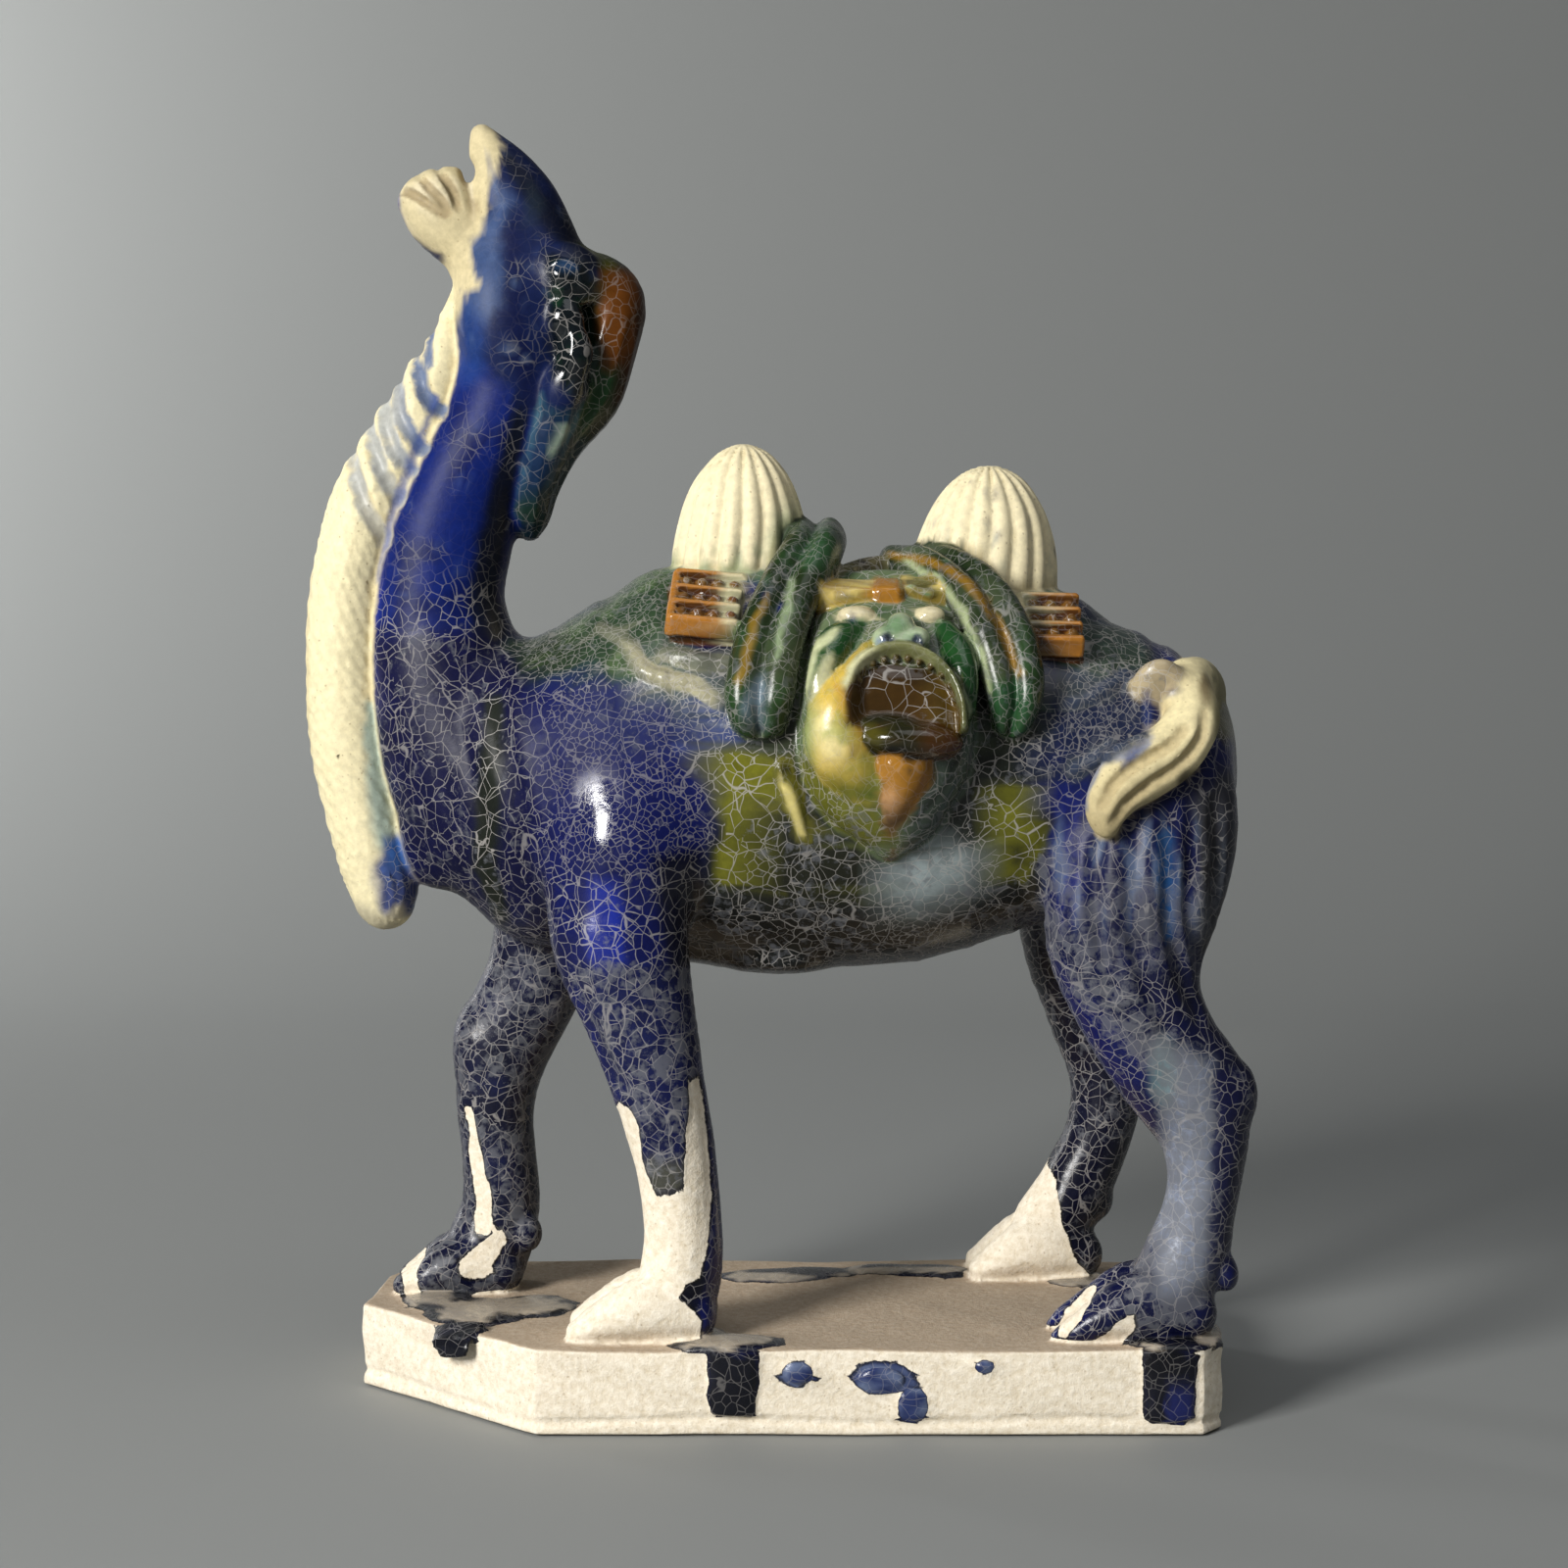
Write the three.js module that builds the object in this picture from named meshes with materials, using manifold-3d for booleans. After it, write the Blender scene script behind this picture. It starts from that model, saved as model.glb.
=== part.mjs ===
// A glazed pottery camel that stands on a cut-cornered clay slab, its head thrown back and its mouth
// open, with two fluted humps, two rolls of cloth and a monster mask bag on its flanks.
// Millimetres, +Z up, head towards -X. The origin is under the middle of the slab's outline.
import * as THREE from 'three';
import { LoftGeometry } from 'three/addons/geometries/LoftGeometry.js';
import { mergeVertices } from 'three/addons/utils/BufferGeometryUtils.js';
import Module from 'manifold-3d';

// Driving dimensions, in millimetres
const FIGURE_HEIGHT = 261;
const SLAB_THICKNESS = 19;
const SLAB_MARGIN_HEAD = 6;
const SLAB_MARGIN_TAIL = 3;
const SLAB_MARGIN_SIDE = 2.5;
const SLAB_EDGE_ROUND = 1.2;
const FOOT_BEDDING = 1;

const wasm = await Module();
wasm.setup();

// The figure is drawn in parts of its own height, 261 to the whole, with heights from the soles.
const PARTS_IN_HEIGHT = 261;
const PART = FIGURE_HEIGHT / PARTS_IN_HEIGHT;

const ACROSS = new THREE.Vector3(0, 1, 0);

// A closed three.js geometry as a solid that joins and cuts with others.
function solid(geometry) {
  const bare = new THREE.BufferGeometry();
  bare.setAttribute('position', geometry.getAttribute('position'));
  bare.setIndex(geometry.index);
  const merged = mergeVertices(bare, 1e-4);
  const vertices = merged.getAttribute('position').array;
  const build = (triangles) => new wasm.Manifold(
    new wasm.Mesh({ numProp: 3, vertProperties: vertices, triVerts: triangles }),
  );
  const faces = new Uint32Array(merged.index.array);
  const made = build(faces);
  return made.volume() > 0 ? made : build(faces.reverse());
}

// A section's outline is an ellipse. Reliefs such as flutes and locks swell and pinch it.
function ring(centre, tangent, reference, inPlane, across, sides, relief) {
  const side = reference.clone().addScaledVector(tangent, -reference.dot(tangent)).normalize();
  const face = new THREE.Vector3().crossVectors(side, tangent);
  return Array.from({ length: sides }, (_, index) => {
    const angle = (index / sides) * Math.PI * 2;
    const swell = relief(angle);
    return centre.clone()
      .addScaledVector(face, Math.cos(angle) * inPlane * swell)
      .addScaledVector(side, Math.sin(angle) * across * swell);
  });
}

// A limb is a solid swept along a smooth line through its stations. Each station is
// [x, y, z, half thickness in the side view, half thickness across]. The ends are rounded by as many
// rings as caps gives for each, and an end that is buried in another form is flat.
function limb(stations, options = {}) {
  const { sides = 12, steps = 12, caps = [1, 1], bulge = 1 } = options;
  const { reference = () => ACROSS, relief = () => 1 } = options;
  const line = new THREE.CatmullRomCurve3(stations.map(([x, y, z]) => new THREE.Vector3(x, y, z)));
  const girth = new THREE.CatmullRomCurve3(
    stations.map(([, , , inPlane, across]) => new THREE.Vector3(inPlane, across, 0)),
    false,
    'catmullrom',
    0.3,
  );
  const sections = [];
  const addRing = (share, slide, shrink) => {
    const tangent = line.getTangent(share);
    const size = girth.getPoint(share);
    const centre = line.getPoint(share).addScaledVector(tangent, slide * bulge * Math.min(size.x, size.y));
    sections.push(ring(centre, tangent, reference(centre), size.x * shrink, size.y * shrink, sides,
      (angle) => relief(angle, share)));
  };
  const roundTurn = (index, count) => (index / (count + 0.35)) * (Math.PI / 2);
  const [startCaps, endCaps] = caps;
  for (let index = startCaps; index > 0; index -= 1) {
    addRing(0, -Math.sin(roundTurn(index, startCaps)), Math.cos(roundTurn(index, startCaps)));
  }
  for (let step = 0; step <= steps; step += 1) addRing(step / steps, 0, 1);
  for (let index = 1; index <= endCaps; index += 1) {
    addRing(1, Math.sin(roundTurn(index, endCaps)), Math.cos(roundTurn(index, endCaps)));
  }
  return solid(new LoftGeometry(sections, { capStart: true, capEnd: true }));
}

// A boss is a rounded lump: half sizes along x, y and z about its centre.
function boss([x, y, z], [rx, ry, rz], turn = 0, detail = 6) {
  const ball = new THREE.SphereGeometry(1, detail, Math.max(4, Math.round(detail * 0.7)));
  ball.scale(rx, ry, rz).rotateY(turn).translate(x, y, z);
  return solid(ball);
}

const join = (pieces) => pieces.reduce((whole, piece) => whole.add(piece));

// Torso, from the chest to the rump. Its middle line lies at this height.
const TORSO_MIDDLE = 119;
const TORSO = [
  [-74, 0, 110, 15, 16],
  [-60, 0, 114, 29, 27],
  [-45, 0, 118, 34, 33],
  [-25, 0, 121.5, 41, 35.5],
  [0, 0, 120, 43.4, 36.5],
  [25, 0, 120.5, 43, 36.5],
  [45, 0, 121.5, 38, 35],
  [65, 0, 121, 33, 33.5],
  [80, 0, 120.5, 27, 29],
  [89, 0, 120.5, 21, 23],
];

// How far out the torso's side stands at a place on it, so that the pack can seat on it.
function flankAt(x, z) {
  const last = TORSO.length - 1;
  const after = Math.min(last, Math.max(1, TORSO.findIndex((station) => station[0] >= x)));
  const before = TORSO[after - 1];
  const share = (x - before[0]) / (TORSO[after][0] - before[0]);
  const between = TORSO[after].map((value, index) => THREE.MathUtils.lerp(before[index], value, share));
  const [, , middle, tall, wide] = between;
  const rise = Math.min(1, Math.abs(z - middle) / tall);
  return wide * Math.sqrt(1 - rise * rise);
}

// The direction straight out of the torso, for cloth and straps that lie on it.
const outOfTorso = (centre) => new THREE.Vector3(0, centre.y, centre.z - TORSO_MIDDLE).normalize();

const torso = limb(TORSO, { sides: 18, steps: 10, caps: [1, 2], bulge: 0.4 });
const chest = boss([-80, 0, 102], [8.5, 8, 9], 0, 8);

// Neck and head in one bend: up from the chest, back, and out to the upper lip.
const neckAndHead = limb([
  [-54, 0, 100, 19, 20],
  [-67, 0, 118, 22, 20],
  [-75, 0, 136, 18.5, 17],
  [-78.4, 0, 156, 15, 13.5],
  [-76, 0, 171, 14.4, 12.5],
  [-71.5, 0, 184, 13, 12],
  [-65, 0, 195, 13, 12],
  [-60.5, 0, 207, 14, 12.5],
  [-59.5, 0, 220, 15.2, 13.5],
  [-59.8, 0, 231, 14.8, 12.5],
  [-60.2, 0, 240, 11.5, 9],
  [-62.4, 0, 247, 9, 7.2],
  [-64.4, 0, 251.6, 6.4, 6.2],
  [-66.8, 0, 255.8, 4, 5],
  [-68, 0, 258.4, 2.6, 3.6],
], { sides: 12, steps: 19, caps: [0, 2] });

const lowerJaw = limb([
  [-67, 0, 226, 6, 7.4],
  [-71.2, 0, 233, 7.2, 7.6],
  [-76.3, 0, 240, 8.8, 8],
  [-77.8, 0, 245.4, 9, 7.6],
], { sides: 10, steps: 5, caps: [0, 3], bulge: 0.75 });

// Folds of the lower lip, side by side over the jaw's rim, from its front to the mouth.
const LIP_FOLDS = 3;
const LIP_FRONT = -83.5;
const LIP_BACK = -73.5;
const LIP_LOW = 243.2;
const LIP_HIGH = 246.2;
const lipFolds = Array.from({ length: LIP_FOLDS }, (_, index) => {
  const share = index / (LIP_FOLDS - 1);
  const x = THREE.MathUtils.lerp(LIP_FRONT, LIP_BACK, share);
  const z = THREE.MathUtils.lerp(LIP_LOW, LIP_HIGH, Math.sin(share * Math.PI * 0.7));
  return limb([
    [x + 1.5, -7, z - 7, 1.7, 1.5],
    [x, -5, z + 1, 1.9, 1.7],
    [x - 0.3, 0, z + 3.2, 1.9, 1.7],
    [x, 5, z + 1, 1.9, 1.7],
    [x + 1.5, 7, z - 7, 1.7, 1.5],
  ], { sides: 5, steps: 4, reference: () => new THREE.Vector3(0.3, 0, 1).normalize() });
});

// Hair from the crown tuft down to the lock that hangs behind the neck.
const crownAndLock = limb([
  [-50, 0, 226.5, 5, 9],
  [-43.4, 0, 225.4, 6.2, 9.6],
  [-38.9, 0, 222.2, 6.8, 9.4],
  [-41, 0, 211, 6.9, 9],
  [-44.2, 0, 202, 6.9, 8.6],
  [-51.2, 0, 192, 5.4, 7.6],
  [-55.2, 0, 182.5, 4.3, 5.8],
  [-57.2, 0, 175.4, 3.7, 4.6],
  [-57.6, 0, 173, 2.8, 3.6],
], { sides: 8, steps: 12 });

// Ears, eyes, brows and the locks below the ears, the same on both sides of the head.
function headSide(side) {
  const brow = [
    [-56, side * 9, 232.5, 1.8, 2],
    [-50.5, side * 10.8, 232, 2.2, 2.4],
    [-45, side * 9, 227, 1.8, 2],
  ];
  const lock = [
    [-49.5, side * 11.5, 204, 3.6, 2.8],
    [-52.5, side * 10.2, 195, 3.8, 3],
    [-56.4, side * 7.2, 184, 3.4, 2.8],
    [-58.4, side * 4.4, 176, 2.4, 2.4],
  ];
  return [
    boss([-49.6, side * 11.8, 211], [4.4, 3.8, 11.5], 0.1),
    boss([-50.4, side * 11, 228], [3.4, 3, 3]),
    limb(brow, { sides: 5, steps: 3 }),
    limb(lock, { sides: 6, steps: 4 }),
  ];
}

// Long hair of the throat: a deep fringe whose locks are combed down and outwards.
const FRINGE_LOCKS = 6;
const FRINGE_TWIST = 9;
const LOCK_DEPTH = 0.07;
const lockSwell = (angle, share) => {
  const mirrored = FRINGE_LOCKS * angle * Math.sign(Math.sin(angle) || 1);
  return 1 + LOCK_DEPTH * Math.cos(mirrored + FRINGE_TWIST * share * Math.PI);
};
const fringe = limb([
  [-73.5, 0, 224, 2, 3],
  [-76.6, 0, 211, 5.1, 5.5],
  [-80.6, 0, 201, 7.6, 7],
  [-85, 0, 192, 8.8, 8],
  [-92.1, 0, 179, 9.2, 9],
  [-97, 0, 164, 8.6, 9.5],
  [-98.6, 0, 148, 8.8, 9.5],
  [-97.7, 0, 127, 9.1, 9.5],
  [-94.8, 0, 110, 8.4, 9],
  [-91.2, 0, 96, 8, 8],
  [-90.4, 0, 90, 6.4, 7],
  [-90.4, 0, 87, 3.8, 4],
], { sides: 12, steps: 20, relief: lockSwell });

// A hump is a dome with upright flutes that fade out towards its crown. It stands on the back.
const HUMP_FLUTES = 14;
const FLUTE_DEPTH = 0.045;
const HUMP_FOOTING = 10;
function hump(x, base, height, halfLength, halfWidth) {
  return limb([
    [x, 0, base - HUMP_FOOTING, halfLength, halfWidth],
    [x, 0, base, halfLength, halfWidth],
  ], {
    sides: HUMP_FLUTES * 2,
    steps: 1,
    caps: [0, 4],
    bulge: height / Math.min(halfLength, halfWidth),
    relief: (angle) => 1 + FLUTE_DEPTH * Math.cos(HUMP_FLUTES * angle),
  });
}
const humps = [hump(-11.9, 165, 26, 14.5, 13.5), hump(41.9, 160.5, 25.8, 15.8, 13.5)];

// Legs: [x, y, z, half thickness in the side view, half thickness across], shoulder or hip first.
const NEAR_FRONT_Y = -28;
const FAR_FRONT_Y = 15;
const NEAR_HIND_Y = -28;
const FAR_HIND_Y = 29;
const nearFrontLeg = limb([
  [-41, NEAR_FRONT_Y + 8, 114, 15, 12],
  [-38, NEAR_FRONT_Y + 3, 98, 15.4, 12],
  [-36.5, NEAR_FRONT_Y, 84, 14.4, 12],
  [-33.3, NEAR_FRONT_Y, 72, 12.3, 11],
  [-30, NEAR_FRONT_Y, 59.5, 10.4, 10],
  [-27.5, NEAR_FRONT_Y, 48.5, 9.8, 9.6],
  [-25.3, NEAR_FRONT_Y, 38, 9, 9],
  [-23.8, NEAR_FRONT_Y, 23, 8.7, 8.8],
  [-24.4, NEAR_FRONT_Y, 13, 9.2, 9.2],
  [-26.5, NEAR_FRONT_Y, 5, 8.6, 9.6],
], { sides: 9, steps: 10, caps: [0, 0] });
const farFrontLeg = limb([
  [-50, FAR_FRONT_Y - 4, 102, 14, 12],
  [-55.5, FAR_FRONT_Y - 2, 86, 11.5, 11],
  [-58.5, FAR_FRONT_Y, 72, 11.5, 10.6],
  [-65.5, FAR_FRONT_Y, 57, 10.8, 10.2],
  [-67.8, FAR_FRONT_Y, 43, 8.8, 9],
  [-67, FAR_FRONT_Y, 31, 8.4, 8.6],
  [-66.8, FAR_FRONT_Y, 19, 9, 8.8],
  [-69.5, FAR_FRONT_Y, 10, 9.6, 9.4],
  [-71.5, FAR_FRONT_Y, 5, 8.6, 9.6],
], { sides: 9, steps: 10, caps: [0, 0] });
const nearHindLeg = limb([
  [74, NEAR_HIND_Y + 9, 124, 19, 13],
  [74.9, NEAR_HIND_Y + 5, 110, 20, 14],
  [72.4, NEAR_HIND_Y + 1, 96, 19, 13.6],
  [70.8, NEAR_HIND_Y, 85, 17.1, 13],
  [73.3, NEAR_HIND_Y, 73, 14.2, 11.6],
  [79, NEAR_HIND_Y, 61.5, 12.4, 10.4],
  [85.2, NEAR_HIND_Y, 52.5, 12.2, 9.4],
  [87.6, NEAR_HIND_Y, 44, 9.6, 8.6],
  [87.8, NEAR_HIND_Y, 35, 8, 8],
  [86.6, NEAR_HIND_Y, 27, 7.8, 7.8],
  [84.5, NEAR_HIND_Y, 19, 8.8, 8.4],
  [80.5, NEAR_HIND_Y, 10, 9, 9.4],
  [77.5, NEAR_HIND_Y, 5, 8.6, 9.6],
], { sides: 9, steps: 13, caps: [0, 0] });
const farHindLeg = limb([
  [68, FAR_HIND_Y - 10, 116, 18, 13],
  [68.5, FAR_HIND_Y - 5, 98, 17, 13.5],
  [68, FAR_HIND_Y - 2, 82, 15.6, 12.4],
  [70.8, FAR_HIND_Y, 64, 12, 10.6],
  [73.4, FAR_HIND_Y, 47.5, 9.4, 9],
  [71.4, FAR_HIND_Y, 34, 7.8, 8.2],
  [66.4, FAR_HIND_Y, 22.5, 8.4, 8.6],
  [60.5, FAR_HIND_Y, 12, 9.2, 9.4],
  [57, FAR_HIND_Y, 5, 8.6, 9.8],
], { sides: 9, steps: 10, caps: [0, 0] });
const hindSpurs = [
  boss([90, NEAR_HIND_Y, 14], [3.6, 5, 4.6]),
  boss([70.6, FAR_HIND_Y, 18], [4, 5, 5]),
];

// A foot has two broad toes side by side, parted at the front. It points towards the head.
const TOE_SPREAD = 5;
const TOE_HALF_WIDTH = 5.8;
const TOE_FLARE = 1.05;
function foot(toeTip, heel, y, height) {
  const length = heel - toeTip;
  const toe = (side) => [
    [heel - length * 0.14, y + side * TOE_SPREAD * 0.8, height * 0.4, height * 0.4, 6],
    [heel - length * 0.42, y + side * TOE_SPREAD, height * 0.52, height * 0.52, 6.4],
    [heel - length * 0.72, y + side * TOE_SPREAD * TOE_FLARE, height * 0.34, height * 0.34, TOE_HALF_WIDTH],
    [heel - length * 0.9, y + side * TOE_SPREAD * 1.1, height * 0.17, height * 0.19, 4.4],
  ];
  return [-1, 1].map((side) => limb(toe(side), { sides: 6, steps: 3 }));
}
const FEET = [
  [-48.5, -17.5, NEAR_FRONT_Y, 14],
  [-90.5, -62.5, FAR_FRONT_Y, 13],
  [57, 88.5, NEAR_HIND_Y, 15],
  [41, 70, FAR_HIND_Y, 15],
];
const feet = FEET.flatMap(([toeTip, heel, y, height]) => foot(toeTip, heel, y, height));

// The tail curls from the rump round on to the near thigh, with a web of clay in its bend.
const tail = limb([
  [88, -2, 136.8, 7.2, 8],
  [86.6, -13, 138.2, 6, 7],
  [83.4, -23, 138, 5.2, 5.6],
  [83.6, -30.5, 131.5, 5.2, 5],
  [81.2, -34.2, 125, 6.1, 4.8],
  [75.6, -37, 120.4, 6.2, 4.6],
  [70.4, -38.4, 115.8, 5.2, 4.3],
  [67.4, -38.6, 111, 4, 3.6],
], { sides: 7, steps: 12, reference: outOfTorso });
const tailWeb = boss([76.6, -25, 137], [5, 4, 8.6]);

// One side of the pack: two rolls of cloth, two slatted boards and the bag.
function rolls(side) {
  const front = [
    [5, 0, 168.8, 6, 5.5],
    [4, side * 14, 167.4, 6.5, 5],
    [-0.5, side * 25.5, 157.8, 6.9, 4.6],
    [-5.4, side * 33, 146, 6.8, 4.4],
    [-7.6, side * 36.5, 135.4, 6.2, 4],
    [-8.2, side * 36.8, 130, 4.8, 3.6],
  ];
  const back = [
    [24.5, 0, 164, 5.4, 4.5],
    [31, side * 12, 164.6, 5.5, 4.8],
    [39, side * 23.5, 158.8, 5.6, 4.8],
    [44.2, side * 31.5, 148, 5.8, 4.6],
    [46.6, side * 35.5, 137.5, 5.4, 4.2],
    [46.6, side * 35.5, 131.5, 4, 3.4],
  ];
  return [front, back].map((stations) => limb(stations, { sides: 6, steps: 8, reference: outOfTorso }));
}

// A board lies on the flank: a plate with raised slats and, between them, rows of round studs.
const BOARD_ROWS = 3;
const STUDS_IN_ROW = 2;
const STUDS_SHARE = 0.62;
const BOARD_SUNK = 3;
const BOARD_PROUD = 2.4;
const SLAT_PROUD = 3.8;
function board(side, x, z, width, height, slope) {
  const pitch = height / BOARD_ROWS;
  const slat = pitch * 0.24;
  const profile = new THREE.Shape();
  profile.moveTo(-BOARD_SUNK, -height / 2 - slat / 2);
  for (let row = 0; row <= BOARD_ROWS; row += 1) {
    const middle = (row - BOARD_ROWS / 2) * pitch;
    if (row > 0) profile.lineTo(BOARD_PROUD, middle - slat / 2);
    profile.lineTo(SLAT_PROUD, middle - slat / 2);
    profile.lineTo(SLAT_PROUD, middle + slat / 2);
    if (row < BOARD_ROWS) profile.lineTo(BOARD_PROUD, middle + slat / 2);
  }
  profile.lineTo(-BOARD_SUNK, height / 2 + slat / 2);
  const plate = new THREE.ExtrudeGeometry(profile, { depth: width, bevelEnabled: false });
  const outwards = new THREE.Vector3(0, side, 0);
  const lengthwise = new THREE.Vector3(side, 0, 0);
  const upright = new THREE.Matrix4().makeBasis(outwards, new THREE.Vector3(0, 0, 1), lengthwise);
  const pieces = [plate.translate(0, 0, -width / 2).applyMatrix4(upright)];
  for (let row = 0; row < BOARD_ROWS; row += 1) {
    for (let stud = 0; stud < (side < 0 ? STUDS_IN_ROW : 0); stud += 1) {
      const along = ((stud + 0.5) / STUDS_IN_ROW - 0.5) * width * STUDS_SHARE;
      const ball = new THREE.IcosahedronGeometry(pitch * 0.27);
      pieces.push(ball.translate(along, side * BOARD_PROUD, (row + 0.5 - BOARD_ROWS / 2) * pitch));
    }
  }
  const lean = Math.atan2(flankAt(x, z - height / 2) - flankAt(x, z + height / 2), height);
  const place = new THREE.Matrix4()
    .makeTranslation(x, side * flankAt(x, z), z)
    .multiply(new THREE.Matrix4().makeRotationX(side * lean))
    .multiply(new THREE.Matrix4().makeRotationY(slope));
  return join(pieces.map((piece) => solid(piece.applyMatrix4(place))));
}
function boards(side) {
  return [board(side, -18.6, 154.9, 14, 18, 0.1), board(side, 55, 150.6, 12, 17, 0.02)];
}

// The bag is a sack that hangs from the saddle and narrows to a tied tail of cloth.
function bag(side) {
  const seat = (x, z, half, thick, out = 0) => [x, side * (flankAt(x, z) + out), z, half, thick];
  return limb([
    seat(19, 158, 15, 5),
    seat(19, 148, 16.5, 7),
    seat(18.5, 134, 18, 9),
    seat(18, 122, 15.5, 9),
    seat(20.5, 110, 9, 6),
    seat(19.5, 100, 3, 3),
  ], { sides: 11, steps: 7, reference: outOfTorso });
}

// The mask on the near bag: brows, closed eyes, snout, cheek lobes, lip arch, tongue and chin.
const MOUTH_X = 23.4;
const MOUTH_Z = 135;
const LIP_WIDE = 10.8;
const LIP_TALL = 11.6;
function mask() {
  const at = (x, z, out) => [x, -(flankAt(x, z) + out), z];
  const swell = (x, z, out, sizes, turn, detail) => boss(at(x, z, out), sizes, turn, detail);
  const lipTurns = [-0.25, 0.3, 0.9, 1.57, 2.24, 2.84, 3.3];
  const lip = lipTurns.map((turn) => {
    const x = MOUTH_X + Math.cos(turn) * LIP_WIDE;
    const z = MOUTH_Z + Math.sin(turn) * LIP_TALL;
    return [...at(x, z, 8.8), 2.2, 3.2];
  });
  const pouch = [
    [...at(13.5, 144.5, 8), 2.2, 2.6],
    [...at(9.6, 136.2, 7.6), 5, 5.4],
    [...at(9.8, 128.5, 6.6), 6.6, 6.6],
  ];
  const chin = [
    [...at(22.2, 122, 6), 6.6, 5.4],
    [...at(21, 114, 4.6), 3.4, 3.8],
    [...at(20.2, 102, 1.6), 2, 2.4],
    [...at(20, 95, 0.8), 1.6, 1.8],
  ];
  const leftCheek = [
    [...at(11, 150.6, 6), 3, 3],
    [...at(6.8, 144.6, 7), 3.8, 3.8],
    [...at(4.2, 136, 6), 1.8, 2.6],
  ];
  const rightCheek = [
    [...at(32.6, 150.6, 6), 2.8, 3],
    [...at(35.4, 142.5, 6.4), 3.2, 3.6],
    [...at(36.2, 134.5, 5), 2, 2.6],
  ];
  const added = [
    swell(12.5, 158.4, 5.6, [5.8, 4.6, 3]),
    swell(21.3, 158.4, 6.4, [3.2, 4.8, 3.6]),
    swell(29.3, 158.6, 5.6, [5.2, 4.6, 2.8]),
    swell(13.2, 154.4, 7, [4, 3.4, 2.2]),
    swell(28.8, 154.4, 7, [3.4, 3.2, 2.2]),
    swell(22.3, 150.8, 9.2, [4.8, 4.8, 4], 0, 7),
    limb(leftCheek, { sides: 6, steps: 4, reference: outOfTorso }),
    limb(rightCheek, { sides: 6, steps: 4, reference: outOfTorso }),
    limb(lip, { sides: 5, steps: 8, reference: outOfTorso }),
    limb(pouch, { sides: 7, steps: 4, reference: outOfTorso }),
    swell(26, 130, 8.4, [10.8, 6.8, 4.8], 0, 8),
    limb(chin, { sides: 6, steps: 4, reference: outOfTorso }),
  ];
  const mouth = swell(MOUTH_X, 138.8, 14.6, [9.2, 5.6, 6.6], 0, 8);
  return { added: join(added), mouth };
}

const face = mask();
const pack = join([
  ...[-1, 1].flatMap((side) => [...rolls(side), ...boards(side), bag(side)]),
  face.added,
]).subtract(face.mouth);

const figure = join([
  torso,
  chest,
  neckAndHead,
  lowerJaw,
  ...lipFolds,
  crownAndLock,
  ...headSide(-1),
  ...headSide(1),
  fringe,
  ...humps,
  nearFrontLeg,
  farFrontLeg,
  nearHindLeg,
  farHindLeg,
  ...hindSpurs,
  ...feet,
  tail,
  tailWeb,
  pack,
]);

// The slab's outline is worked out from the feet that it carries. Its corners are cut off with a
// knife: a little at the tail, more at the head's far side, and in one long cut at the near side.
const TAIL_CUT = [5 * PART, 6 * PART];
const HEAD_CUT = [11 * PART, 16 * PART];
const HEAD_BEVEL = 2 * PART;
const POINT_Y = -2 * PART;
const toeEnd = Math.min(...FEET.map(([toeTip]) => toeTip)) * PART - SLAB_MARGIN_HEAD;
const heelEnd = Math.max(...FEET.map(([, heel]) => heel)) * PART + SLAB_MARGIN_TAIL;
const halfFootWidth = (TOE_SPREAD * TOE_FLARE + TOE_HALF_WIDTH) * PART;
const halfDepth = Math.max(...FEET.map(([, , y]) => Math.abs(y))) * PART + halfFootWidth + SLAB_MARGIN_SIDE;
const nearCutX = toeEnd + (FEET[0][0] - FEET[1][0]) * PART;
const outline = new THREE.Shape([
  new THREE.Vector2(nearCutX, -halfDepth),
  new THREE.Vector2(heelEnd - TAIL_CUT[0], -halfDepth),
  new THREE.Vector2(heelEnd, -halfDepth + TAIL_CUT[1]),
  new THREE.Vector2(heelEnd, halfDepth - TAIL_CUT[1]),
  new THREE.Vector2(heelEnd - TAIL_CUT[0], halfDepth),
  new THREE.Vector2(toeEnd + HEAD_CUT[0], halfDepth),
  new THREE.Vector2(toeEnd + HEAD_BEVEL, halfDepth - HEAD_CUT[1]),
  new THREE.Vector2(toeEnd, POINT_Y),
]);
const slabGeometry = new THREE.ExtrudeGeometry(outline, {
  depth: SLAB_THICKNESS - 2 * SLAB_EDGE_ROUND,
  bevelThickness: SLAB_EDGE_ROUND,
  bevelSize: SLAB_EDGE_ROUND,
  bevelOffset: -SLAB_EDGE_ROUND,
  bevelSegments: 2,
});
slabGeometry.translate(0, 0, SLAB_EDGE_ROUND);
const slab = solid(slabGeometry);
const centreX = (toeEnd + heelEnd) / 2;

const figureOnSlab = figure.scale([PART, PART, PART]).translate([0, 0, SLAB_THICKNESS - FOOT_BEDDING]);
const whole = figureOnSlab.add(slab).translate([-centreX, 0, 0]);

// The joined solid back as a three.js geometry.
function geometryOf(manifold) {
  const mesh = manifold.getMesh();
  const points = new Float32Array(mesh.numVert * 3);
  for (let index = 0; index < mesh.numVert; index += 1) {
    points.set(mesh.vertProperties.subarray(index * mesh.numProp, index * mesh.numProp + 3), index * 3);
  }
  const geometry = new THREE.BufferGeometry();
  geometry.setAttribute('position', new THREE.BufferAttribute(points, 3));
  geometry.setIndex(new THREE.BufferAttribute(mesh.triVerts, 1));
  return geometry;
}

const cobaltGlaze = new THREE.MeshStandardMaterial({ color: 0x1b2277, roughness: 0.2, metalness: 0 });
const camelFigure = new THREE.Mesh(geometryOf(whole), cobaltGlaze);
camelFigure.name = 'camel_figure';

const group = new THREE.Group();
group.add(camelFigure);
export default group;
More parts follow.
